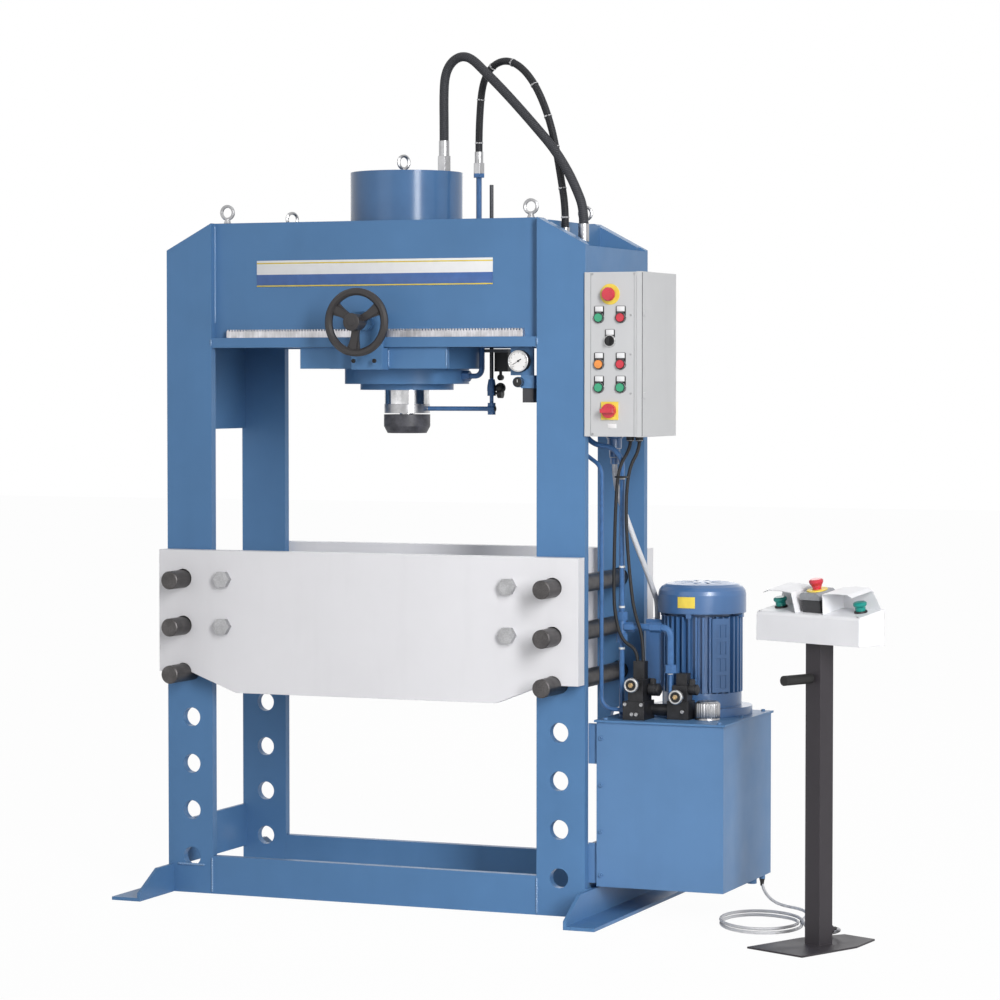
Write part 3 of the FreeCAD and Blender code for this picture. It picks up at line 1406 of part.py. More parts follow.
# conduit to the motor, and the leads from the cabinet down to the valves
conduitX = motorX - 146
conduitY = motorY + 14
conduitPoints = [
    (outletX, outletY, cabinetFoot - 84), (outletX, outletY, cabinetFoot - 110),
    (outletX + 6, outletY + 10, cabinetFoot - 173), (outletX + 24, outletY + 36, cabinetFoot - 242),
    (outletX + 44, outletY + 66, cabinetFoot - 324), (outletX + 60, outletY + 102, cabinetFoot - 393),
    (outletX + 66, outletY + 160, cabinetFoot - 468), (conduitX, conduitY, finTop + 34),
    (conduitX, conduitY, finTop - 14)]
plugTop = lidTop + manifoldHeight + 116
rightLead = [
    (leadX + 14, leadY + 2, cabinetFoot - 14), (leadX + 14, leadY + 2, cabinetFoot - 40),
    (leadX - 12, leadY - 14, cabinetFoot - 92), (leadX - 20, leadY - 20, cabinetFoot - 190),
    (leadX - 16, leadY - 20, cabinetFoot - 310), (leadX - 6, leadY - 18, cabinetFoot - 430),
    (leadX + 6, leadY - 16, cabinetFoot - 520), (blockAX + 46, blockAY + 50, cabinetFoot - 590),
    (blockAX + 46, blockAY + 50, plugTop)]
leftLead = [
    (leadX - 14, leadY + 2, cabinetFoot - 14), (leadX - 14, leadY + 2, cabinetFoot - 36),
    (riserX - 2, riserY - 26, cabinetFoot - 92), (riserX - 10, riserY - 26, cabinetFoot - 190),
    (riserX - 14, riserY - 26, cabinetFoot - 310), (riserX - 16, riserY - 26, cabinetFoot - 430),
    (riserX - 14, riserY - 26, cabinetFoot - 520), (riserX + 8, riserY - 26, cabinetFoot - 600),
    (blockAX + 28, blockAY + 50, cabinetFoot - 626), (blockAX + 28, blockAY + 50, plugTop)]
node("electrical_leads", group(cord("motor conduit", conduitPoints, conduitDiameter, 6),
                               cord("right valve lead", rightLead, leadDiameter, 6),
                               cord("left valve lead", leftLead, leadDiameter, 6)))

# cable of the stand: down from the tank to the floor, two loose turns, and over the foot
# of the post into its gland. Each turn is an oval; the second rises over the end of the first
cableLift = standCable * 0.53
coilCentre = Vector(1199, 61, 0)
coilAcross = 121
coilAlong = 168
coilTurn = math.radians(22.4)
coilTurns = 2
coilStep = 10
coilSwing = 6


def coilPoint(quarter):
    # quarter turns go clockwise from above; the oval draws in and out again once
    inset = coilSwing * (1 - math.cos(math.pi * quarter / coilTurns / 2))
    climb = min(max(quarter - 3.5, 0), 1)
    across = (coilAcross - inset) * math.cos(math.pi / 2 * quarter)
    along = -(coilAlong - inset) * math.sin(math.pi / 2 * quarter)
    x = across * math.cos(coilTurn) - along * math.sin(coilTurn)
    y = across * math.sin(coilTurn) + along * math.cos(coilTurn)
    return coilCentre + Vector(x, y, cableLift + coilStep * climb)


def biarc(p0, t0, p1, t1):
    # two arcs that leave p0 along t0 and reach p1 along t1
    v = p1 - p0
    a = 2 * (t0.dot(t1) - 1)
    b = -2 * v.dot(t0 + t1)
    c = v.dot(v)
    d = (-b - math.sqrt(b * b - 4 * a * c)) / (2 * a)
    joint = (p0 + p1 + (t0 - t1) * d) * 0.5
    arcs = []
    for start, end, tangent in ((p0, joint, t0), (joint, p1, None)):
        chord = end - start
        if tangent is None:
            tangent = t1 - chord * (2 * t1.dot(chord) / chord.dot(chord))
            tangent = tangent * -1
        lean = tangent - chord * (tangent.dot(chord) / chord.dot(chord))
        angle = tangent.getAngle(chord)
        rise = chord.Length / 2 * math.tan(angle / 2)
        middle = (start + end) * 0.5 + lean.normalize() * rise
        arcs.append(Part.Arc(start, middle, end).toShape())
    return arcs


def coil():
    quarters = coilTurns * 4
    points = [coilPoint(k) for k in range(quarters + 1)]
    tangents = []
    for k in range(quarters + 1):
        level = (coilPoint(k + 0.01) - coilPoint(k - 0.01))
        level.z = coilStep * 0.25 * level.Length / 60 if k == 4 else 0
        tangents.append(level.normalize())
    edges = []
    for k in range(quarters):
        edges += biarc(points[k], tangents[k], points[k + 1], tangents[k + 1])
    path = Part.Wire(edges)
    solid = path.makePipeShell([faceted(points[0], tangents[0], standCable, 8)], True, False)
    if solid.ShapeType != "Solid":
        solid = Part.Solid(solid.Shells[0])
    if solid.Volume < 0:
        solid = solid.reversed()
    marks = path.discretize(Number=400)
    step = path.Length / 399
    apart = int(float(standCable) * 6 / step)
    least = min((p - q).Length for k, p in enumerate(marks) for q in marks[k + apart:])
    expected = math.pi * float(standCable) ** 2 / 4 * path.Length
    print("stand cable coil length %.0f mm, least gap to itself %.1f mm, volume ratio %.3f" % (
        path.Length, least - float(standCable) * 1.054, solid.Volume / expected))
    return solid, points, tangents


coilSolid, coilMarks, coilTangents = coil()
coilStart = coilMarks[0]
coilEnd = coilMarks[-1]
firstLead = coilStart - coilTangents[0] * 42
lastLead = coilEnd + coilTangents[-1] * 29
node("stand_cable_coil", formed(coilSolid))

floorLevel = cableLift
runPoints = [
    (glandX, glandY, tankFoot - 14), (glandX, glandY, 60), (glandX + 9, glandY - 4, 40),
    (glandX + 27, glandY - 12, 22), (glandX + 55, glandY - 24, 9),
    (glandX + 90, glandY - 40, floorLevel), (glandX + 128, glandY - 62, floorLevel),
    (glandX + 162, glandY - 97, floorLevel), (glandX + 184, glandY - 143, floorLevel),
    (glandX + 197, glandY - 191, floorLevel), (glandX + 203, glandY - 237, floorLevel),
    tuple(firstLead), tuple(coilStart)]
node("stand_cable_run", cord("stand cable run", runPoints, standCable))


def besideStand(across, along, height):
    spot = standRotation.multVec(Vector(across, along, 0))
    return (float(standX) + spot.x, float(standY) + spot.y, height)


postGlandEnd = float(half) + postGlandLength
endPoints = [
    tuple(coilEnd), tuple(lastLead), (1337, 45, 13.5), (1355, 10, 10), (1381, -24, 7),
    (1414, -50, 7), (1442, -70, 12), besideStand(-42, 117, 18), besideStand(-18, 108, 27),
    besideStand(-3, 90, 35), besideStand(0, postGlandEnd + 18, postGlandHeight),
    besideStand(0, postGlandEnd, postGlandHeight)]
node("stand_cable_end", cord("stand cable end", endPoints, standCable))


# ---------------------------------------------------------------- check and export

doc.recompute()
for thing in doc.Objects:
    if "Invalid" in thing.State or "Error" in thing.State:
        raise RuntimeError("%s failed: %s" % (thing.Label, thing.State))

os.makedirs("parts", exist_ok=True)
for thing in nodes:
    shape = thing.Shape
    if shape.isNull() or not shape.isValid() or not shape.Solids:
        raise RuntimeError("%s has no valid solid" % thing.Label)
    shape.exportStep(os.path.join("parts", thing.Label + ".step"))
print("%d nodes" % len(nodes))
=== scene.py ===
import bpy
import math
import numpy as np
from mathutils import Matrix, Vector


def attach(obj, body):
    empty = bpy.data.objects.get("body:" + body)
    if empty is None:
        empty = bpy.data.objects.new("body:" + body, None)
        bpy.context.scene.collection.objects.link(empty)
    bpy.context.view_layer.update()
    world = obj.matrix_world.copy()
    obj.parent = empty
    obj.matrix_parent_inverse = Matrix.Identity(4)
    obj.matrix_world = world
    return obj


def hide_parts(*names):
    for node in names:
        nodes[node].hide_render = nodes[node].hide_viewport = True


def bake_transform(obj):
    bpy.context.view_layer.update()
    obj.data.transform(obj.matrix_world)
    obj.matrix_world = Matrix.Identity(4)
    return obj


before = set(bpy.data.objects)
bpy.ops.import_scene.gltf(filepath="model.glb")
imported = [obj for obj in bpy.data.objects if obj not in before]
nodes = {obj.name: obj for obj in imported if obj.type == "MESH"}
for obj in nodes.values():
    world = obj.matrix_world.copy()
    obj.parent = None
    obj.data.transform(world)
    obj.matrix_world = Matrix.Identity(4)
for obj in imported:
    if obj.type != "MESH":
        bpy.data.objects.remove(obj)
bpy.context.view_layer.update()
print("frame loaded with", len(nodes), "nodes")


# camera at the photograph's angle

photoView = {
    "place": (4.0831, -9.0183, 1.576),
    "turn": 22.152,
    "dip": 2.091,
    "lens": 118.93,
}


def makeCamera():
    turn = math.radians(photoView["turn"])
    dip = math.radians(photoView["dip"])
    look = Vector((-math.sin(turn) * math.cos(dip), math.cos(turn) * math.cos(dip), -math.sin(dip)))
    lens = bpy.data.cameras.new("photoCamera")
    lens.lens = photoView["lens"]
    lens.sensor_width = 36
    lens.clip_end = 100
    camera = bpy.data.objects.new("photoCamera", lens)
    camera.location = photoView["place"]
    camera.rotation_euler = look.to_track_quat("-Z", "Y").to_euler()
    bpy.context.collection.objects.link(camera)
    bpy.context.scene.camera = camera


makeCamera()
print("camera placed")


# small tools for surfaces worked out on a grid

rightward = np.array([1, 0, 0])
upward = np.array([0, 0, 1])
frontward = np.array([0, -1, 0])


def surfacePiece(name, shapes, uv=None, sharp=38):
    # a shape is points[i, j] with its kind: capped closes the first and last row,
    # looped joins the last row to the first, open leaves all four edges free
    vertices, faces, first = [], [], 0
    for points, kind in shapes:
        rows, columns = points.shape[:2]
        i = np.arange(rows if kind == "looped" else rows - 1)[:, None]
        j = np.arange(columns - 1 if kind == "open" else columns)[None, :]
        low, high, k = i * columns, (i + 1) % rows * columns, (j + 1) % columns
        quads = np.stack([low + j, low + k, high + k, high + j], axis=-1)
        faces += (quads.reshape(-1, 4) + first).tolist()
        if kind == "capped":
            faces.append(list(range(first + columns - 1, first - 1, -1)))
            faces.append(list(range(first + (rows - 1) * columns, first + rows * columns)))
        vertices.append(points.reshape(-1, 3))
        first += rows * columns
    mesh = bpy.data.meshes.new(name)
    mesh.from_pydata(np.concatenate(vertices).tolist(), [], faces)
    if uv is not None:
        layer = mesh.uv_layers.new(name="uv")
        loops = np.empty(len(mesh.loops), dtype=np.int32)
        mesh.loops.foreach_get("vertex_index", loops)
        layer.data.foreach_set("uv", uv.reshape(-1, 2)[loops].astype(np.float32).ravel())
    mesh.polygons.foreach_set("use_smooth", np.ones(len(mesh.polygons), dtype=bool))
    mesh.set_sharp_from_angle(angle=math.radians(sharp))
    mesh.update()
    piece = bpy.data.objects.new(name, mesh)
    bpy.context.collection.objects.link(piece)
    return piece


def addPiece(name, shapes, finish, slot, *stoodFor, body="frame", uv=None, sharp=38):
    # a surface in its finish, riding on a body and standing for the CAD nodes it hides
    piece = surfacePiece(name, shapes, uv, sharp)
    piece.data.materials.append(finishes[finish])
    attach(piece, body)
    if stoodFor:
        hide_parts(*stoodFor)
    return piece


def addTrim(pieces, body="frame"):
    # each small piece says its slot, finish and maker, where it goes, and the maker's own settings
    for name, (slot, finish, maker, places, settings) in pieces.items():
        addPiece(name, [maker(place, **settings) for place in places], finish, slot, body=body)


def smoothRoute(name, route, steps=14):
    # the route's NURBS line of order 3, read back as points
    curve = bpy.data.curves.new(name + "Line", "CURVE")
    curve.dimensions = "3D"
    curve.resolution_u = steps
    spline = curve.splines.new("NURBS")
    spline.points.add(len(route) - 1)
    spline.points.foreach_set("co", np.hstack([np.array(route, float), np.ones((len(route), 1))]).ravel())
    spline.order_u = 3
    spline.use_endpoint_u = True
    line = bpy.data.objects.new(name + "Line", curve)
    mesh = bpy.data.meshes.new_from_object(line)
    points = np.array([v.co for v in mesh.vertices])
    bpy.data.objects.remove(line)
    bpy.data.curves.remove(curve)
    bpy.data.meshes.remove(mesh)
    keep = np.r_[True, np.linalg.norm(np.diff(points, axis=0), axis=1) > 1e-6]
    return points[keep]


def alongPath(points):
    # distance s along the path, and a pair of axes carried along it without twist
    step = np.diff(points, axis=0)
    s = np.r_[0, np.cumsum(np.linalg.norm(step, axis=1))]
    tangent = np.gradient(points, s, axis=0)
    tangent /= np.linalg.norm(tangent, axis=1)[:, None]
    first = np.cross(tangent[0], [0.31, 0.95, 0.05])
    side = [first / np.linalg.norm(first)]
    for t in tangent[1:]:
        nextSide = side[-1] - t * np.dot(side[-1], t)
        side.append(nextSide / np.linalg.norm(nextSide))
    side = np.array(side)
    return s, side, np.cross(tangent, side)


def tubeShape(points, radius, sides=20):
    # P(s, a) = C(s) + radius(s) * (cos a * U(s) + sin a * V(s)); uv is (a turn, s in metres)
    s, u, v = alongPath(points)
    a = np.linspace(0, 2 * np.pi, sides, endpoint=False)
    r = radius(s) if callable(radius) else np.full(len(s), radius)
    ring = np.cos(a)[None, :, None] * u[:, None, :] + np.sin(a)[None, :, None] * v[:, None, :]
    grid = points[:, None, :] + r[:, None, None] * ring
    uv = np.stack(np.broadcast_arrays(a[None, :] / (2 * np.pi), s[:, None]), axis=-1)
    return (grid, "capped"), uv


def turnedShape(centre, profile, axis=frontward, sides=40, kind="capped", flutes=0, depth=0.0):
    # P(t, a) = centre + h(t) * axis + r(t) * flute(a) * (cos a * U + sin a * V)
    # flute(a) = 1 - depth * (1 + cos(flutes * a)) / 2
    n = Vector(axis).normalized()
    u = Vector((1, 0, 0)) if abs(n.x) < 0.9 else Vector((0, 1, 0))
    u = (u - n * u.dot(n)).normalized()
    v = n.cross(u)
    profile = np.array(profile, float)
    a = np.linspace(0, 2 * np.pi, sides, endpoint=False)
    ring = np.cos(a)[:, None] * np.array(u) + np.sin(a)[:, None] * np.array(v)
    ring = ring * (1 - depth * (1 + np.cos(flutes * a)) / 2)[:, None]
    grid = np.array(centre) + profile[:, 1, None, None] * np.array(n) + profile[:, 0, None, None] * ring
    return grid, kind


def plateShape(centre, across, up, width, height, thick, corner=0.0):
    # a rounded rectangle in the plane of across and up, raised by thick along their cross
    across, up = np.array(across, float), np.array(up, float)
    q = np.linspace(0, np.pi / 2, 5)
    corner = max(corner, 1e-4)
    ring = []
    for k, (sx, sy) in enumerate(((1, 1), (-1, 1), (-1, -1), (1, -1))):
        ring.append(np.stack([sx * (width / 2 - corner) + corner * np.cos(q + k * np.pi / 2),
                              sy * (height / 2 - corner) + corner * np.sin(q + k * np.pi / 2)], axis=1))
    ring = np.concatenate(ring)
    edge = min(thick * 0.4, corner * 0.6)
    rise = np.array([0, thick - edge, thick])
    shrink = 1 - np.array([0, 0, edge])[:, None, None] * 2 / np.array([width, height])
    flat = ring[None] * shrink
    grid = np.array(centre) + flat[..., :1] * across + flat[..., 1:] * up
    return grid + rise[:, None, None] * np.cross(across, up), "capped"


def frontPlate(centre, **size):
    return plateShape(centre, rightward, upward, **size)


def collarShape(centre, hole, outline, thick):
    # a flat ring that faces the front, from a round hole to outline(a), the reach of its edge at angle a
    a = np.linspace(0, 2 * np.pi, 56, endpoint=False)
    way = np.cos(a)[:, None] * rightward + np.sin(a)[:, None] * upward
    reach = np.stack([np.full(len(a), hole), outline(a), outline(a), np.full(len(a), hole)])
    rise = np.array([0, 0, thick, thick])
    grid = np.array(centre) + reach[..., None] * way + rise[:, None, None] * frontward
    return grid, "looped"


def bandShape(centre, axis, reachA, reachB, width, thick=0.0014):
    # a strap round something oval: inner edge (reachA * cos a, reachB * sin a), width along the axis
    n = Vector(axis).normalized()
    u = (Vector((1, 0, 0)) - n * n.x).normalized()
    v = n.cross(u)
    a = np.linspace(0, 2 * np.pi, 32, endpoint=False)
    rows = [(0, -width / 2), (thick, -width / 2), (thick, width / 2), (0, width / 2)]
    grid = [np.array(centre) + h * np.array(n) + ((reachA + g) * np.cos(a))[:, None] * np.array(u)
            + ((reachB + g) * np.sin(a))[:, None] * np.array(v) for g, h in rows]
    return np.array(grid), "looped"


def screwShape(centre, radius, axis=frontward):
    # a cheese head with a round socket, its profile in shares of the radius
    profile = np.array([(1, 0), (1, 0.7), (0.88, 0.9), (0.5, 0.9), (0.46, 0.4)]) * radius
    return turnedShape(centre, profile, axis, 24)


def beadShape(start, end, radius=0.0045, wave=0.008, taper=0.004):
    # a weld: radius * (0.85 + 0.15 * sin(2 pi s / wave)) along a straight line, thin at both ends
    start, end = np.array(start, float), np.array(end, float)
    length = float(np.linalg.norm(end - start))
    t = np.linspace(0, 1, int(length / wave * 4))[:, None]

    def thickness(s):
        ends = np.clip(np.minimum(s, length - s) / taper, 0.1, 1)
        return radius * (0.85 + 0.15 * np.sin(2 * np.pi * s / wave)) * ends

    return tubeShape(start + (end - start) * t, thickness, 8)[0]


# finishes

def startFinish(name):
    material = bpy.data.materials.new(name)
    material.use_nodes = True
    tree = material.node_tree
    return material, tree, tree.nodes["Principled BSDF"]


def plug(tree, value, socket):
    # a link for what varies over the surface, and the socket's own value for what doesn't
    if isinstance(value, bpy.types.NodeSocket):
        tree.links.new(value, socket)
    else:
        socket.default_value = value


def plugAll(tree, made, values):
    for key, value in values.items():
        plug(tree, value, made.inputs[key])


def addNode(tree, kind, inputs=None, **values):
    made = tree.nodes.new(kind)
    for key, value in values.items():
        setattr(made, key, value)
    plugAll(tree, made, inputs or {})
    return made


def compute(tree, operation, first, second=0.0):
    return addNode(tree, "ShaderNodeMath", {0: first, 1: second}, operation=operation).outputs[0]


def dotProduct(tree, first, second):
    made = addNode(tree, "ShaderNodeVectorMath", {0: first, 1: second}, operation="DOT_PRODUCT")
    return made.outputs["Value"]


def objectPoints(tree, stretch=(1, 1, 1)):
    place = addNode(tree, "ShaderNodeTexCoord")
    mapping = addNode(tree, "ShaderNodeMapping", {"Vector": place.outputs["Object"], "Scale": stretch})
    return mapping.outputs["Vector"]


def noise(tree, points, scale, detail=3.0, rough=0.5):
    made = addNode(tree, "ShaderNodeTexNoise",
                   {"Vector": points, "Scale": scale, "Detail": detail, "Roughness": rough})
    return made.outputs["Fac"]


def spread(tree, value, low, high, fromLow=0.3, fromHigh=0.7):
    made = addNode(tree, "ShaderNodeMapRange", {"Value": value, "From Min": fromLow, "From Max": fromHigh,
                                                "To Min": low, "To Max": high})
    return made.outputs["Result"]


def blendColours(tree, share, first, second):
    # first and second are sockets or plain red, green and blue
    made = addNode(tree, "ShaderNodeMix", {0: share}, data_type="RGBA")
    for socket, value in ((6, first), (7, second)):
        linked = isinstance(value, bpy.types.NodeSocket)
        plug(tree, value if linked else (*value, 1), made.inputs[socket])
    return made.outputs[2]


def toned(tree, share, colour, low, high):
    # from colour * low to colour * high as the share goes from 0 to 1
    colour = np.array(colour)
    return blendColours(tree, share, tuple(colour * low), tuple(np.minimum(colour * high, 1)))


def blendValues(tree, share, first, second):
    if first == second:
        return first
    return addNode(tree, "ShaderNodeMix", {0: share, 2: first, 3: second}, data_type="FLOAT").outputs[0]


def softEdges(tree, grain, strength, distance, radius):
    # rounded edges and a fine grain in one normal
    soft = addNode(tree, "ShaderNodeBevel", {"Radius": radius}, samples=4).outputs["Normal"]
    bump = addNode(tree, "ShaderNodeBump", {"Height": grain, "Strength": strength, "Distance": distance,
                                           "Normal": soft})
    return soft, bump.outputs["Normal"]


def paintedSteel(name, colour, roughness, peel=0.12, tone=0.08, edge=0.25, coat=0.2, shine=0.5,
                 cloudSize=2.2):
    # sprayed enamel: slow changes of tone, orange peel, faint smears, and edges painted paler in patches, as
    # wear and as painted highlight
    material, tree, shader = startFinish(name)
    points = objectPoints(tree)
    colour = np.array(colour)
    cloud = noise(tree, points, cloudSize, 4.0, 0.6)
    shade = toned(tree, spread(tree, cloud, 0, 1), colour, 1 - tone, 1 + tone)
    smear = noise(tree, objectPoints(tree, (14, 14, 1.6)), 1.0, 3.0, 0.6)
    shade = blendColours(tree, spread(tree, smear, 0, 0.1, 0.5, 0.75), shade, tuple(colour * 0.72))
    soft, normal = softEdges(tree, noise(tree, points, 420, 2.0), peel, 0.0006, 0.0016)
    flat = addNode(tree, "ShaderNodeNewGeometry").outputs["Normal"]
    patchy = noise(tree, points, 34, 4.0, 0.7)
    # paler where the soft normal turns away from the flat one, in patches: painted edge highlight, partly
    # wear
    paleEdgesWearAndHighlight = compute(tree, "MULTIPLY", spread(tree, dotProduct(tree, soft, flat), 1, 0, 0.82, 0.99),
                   spread(tree, patchy, 0, edge, 0.4, 0.7))
    shade = blendColours(tree, paleEdgesWearAndHighlight, shade, tuple(np.minimum(colour * 1.9 + 0.05, 1)))
    uneven = spread(tree, noise(tree, points, 9, 3), roughness - 0.05, roughness + 0.07)
    plugAll(tree, shader, {"Base Color": shade, "Normal": normal, "Roughness": uneven, "Coat Weight": coat,
                           "Coat Roughness": 0.22, "Specular IOR Level": shine})
    return material


def bareMetal(name, colour, roughness, stretch=(1, 1, 1), scale=300, depth=0.1, tone=0.12, stain=0.0):
    # turned, rolled or plated steel; stretch draws the grain out along the tool marks, and on the chrome rod
    # draws broad upright bands of painted reflection
    material, tree, shader = startFinish(name)
    lines = noise(tree, objectPoints(tree, stretch), scale, 3.0)
    cloud = noise(tree, objectPoints(tree), 30, 3.0)
    both = compute(tree, "MULTIPLY", lines, cloud)
    shade = toned(tree, spread(tree, both, 0, 1, 0.1, 0.4), colour, 1 - tone, 1 + tone)
    if stain:
        dull = noise(tree, objectPoints(tree), 7, 5.0, 0.65)
        shade = blendColours(tree, spread(tree, dull, 0, stain, 0.45, 0.65), shade,
                             tuple(np.array(colour) * 0.45))
    normal = softEdges(tree, lines, depth, 0.0003, 0.0008)[1]
    uneven = spread(tree, lines, roughness - 0.06, roughness + 0.08)
    plugAll(tree, shader, {"Base Color": shade, "Normal": normal, "Roughness": uneven, "Metallic": 1.0})
    return material


def moulding(name, colour, roughness, scale=500, depth=0.06, coat=0.0, shine=0.4, tone=0.08):
    # moulded plastic or rubber with a fine spark-eroded grain
    material, tree, shader = startFinish(name)
    points = objectPoints(tree)
    grain = noise(tree, points, scale, 2.0)
    shade = toned(tree, spread(tree, noise(tree, points, 40, 3.0), 0, 1), colour, 1 - tone, 1 + tone)
    normal = softEdges(tree, grain, depth, 0.0003, 0.0006)[1]
    uneven = spread(tree, grain, roughness - 0.04, roughness + 0.06)
    plugAll(tree, shader, {"Base Color": shade, "Normal": normal, "Roughness": uneven,
                           "Coat Weight": coat, "Specular IOR Level": shine})
    return material


def zonedFinish(name, *zones, mottle=60):
    # one node in several finishes: each zone (direction, limit, colour, metallic, roughness)
    # covers what came before it where direction . place is over its limit
    material, tree, shader = startFinish(name)
    points = objectPoints(tree)
    grain = noise(tree, points, mottle, 4.0, 0.6)
    tint, metal, rough = None, None, None
    for direction, limit, colour, metallic, roughness in zones:
        own = toned(tree, spread(tree, grain, 0, 1), colour, 0.86, 1.16)
        if tint is None:
            tint, metal, rough = own, metallic, roughness
            continue
        inside = compute(tree, "GREATER_THAN", dotProduct(tree, points, direction), limit)
        tint = blendColours(tree, inside, tint, own)
        metal = blendValues(tree, inside, metal, metallic)
        rough = blendValues(tree, inside, rough, roughness)
    uneven = compute(tree, "ADD", rough, spread(tree, grain, -0.04, 0.06))
    normal = softEdges(tree, noise(tree, points, 420, 2.0), 0.12, 0.0004, 0.001)[1]
    plugAll(tree, shader, {"Base Color": tint, "Normal": normal, "Roughness": uneven, "Metallic": metal,
                           "Specular IOR Level": 0.4})
    return material


def ribbedSheath(name, colour, roughness, pitch, depth, turns=1.0, tone=0.25):
    # a spiral rib round a cord: height = sin(2 pi * (s / pitch + turns * a)), from the piece's uv, with the
    # colour following the rib as painted shade and highlight
    material, tree, shader = startFinish(name)
    uv = addNode(tree, "ShaderNodeUVMap", uv_map="uv")
    parts = addNode(tree, "ShaderNodeSeparateXYZ", {"Vector": uv.outputs["UV"]})
    along = compute(tree, "MULTIPLY", parts.outputs["Y"], 1 / pitch)
    around = compute(tree, "MULTIPLY", parts.outputs["X"], turns)
    phase = compute(tree, "MULTIPLY", compute(tree, "ADD", along, around), 2 * math.pi)
    wave = compute(tree, "SINE", phase)
    # darker in the rib's grooves and paler on its crests: painted shade in the grooves, painted highlight on
    # the crests
    shade = toned(tree, spread(tree, wave, 0, 1, -1, 1), colour, 1 - tone, 1 + tone)
    bump = addNode(tree, "ShaderNodeBump", {"Height": wave, "Strength": 0.6, "Distance": depth})
    uneven = spread(tree, noise(tree, objectPoints(tree), 200), roughness - 0.05, roughness + 0.08)
    plugAll(tree, shader, {"Base Color": shade, "Normal": bump.outputs["Normal"], "Roughness": uneven,
                           "Specular IOR Level": 0.35})
    return material


pressBlue = (0.088, 0.2, 0.385)
deepBlue = (0.05, 0.135, 0.31)
zinc = (0.42, 0.42, 0.43)
softBlack = (0.012, 0.012, 0.013)
everywhere = (upward, -9.0)

calm = {"peel": 0.1, "coat": 0.05, "shine": 0.18}
dull = {"edge": 0.3, "coat": 0, "shine": 0.4}

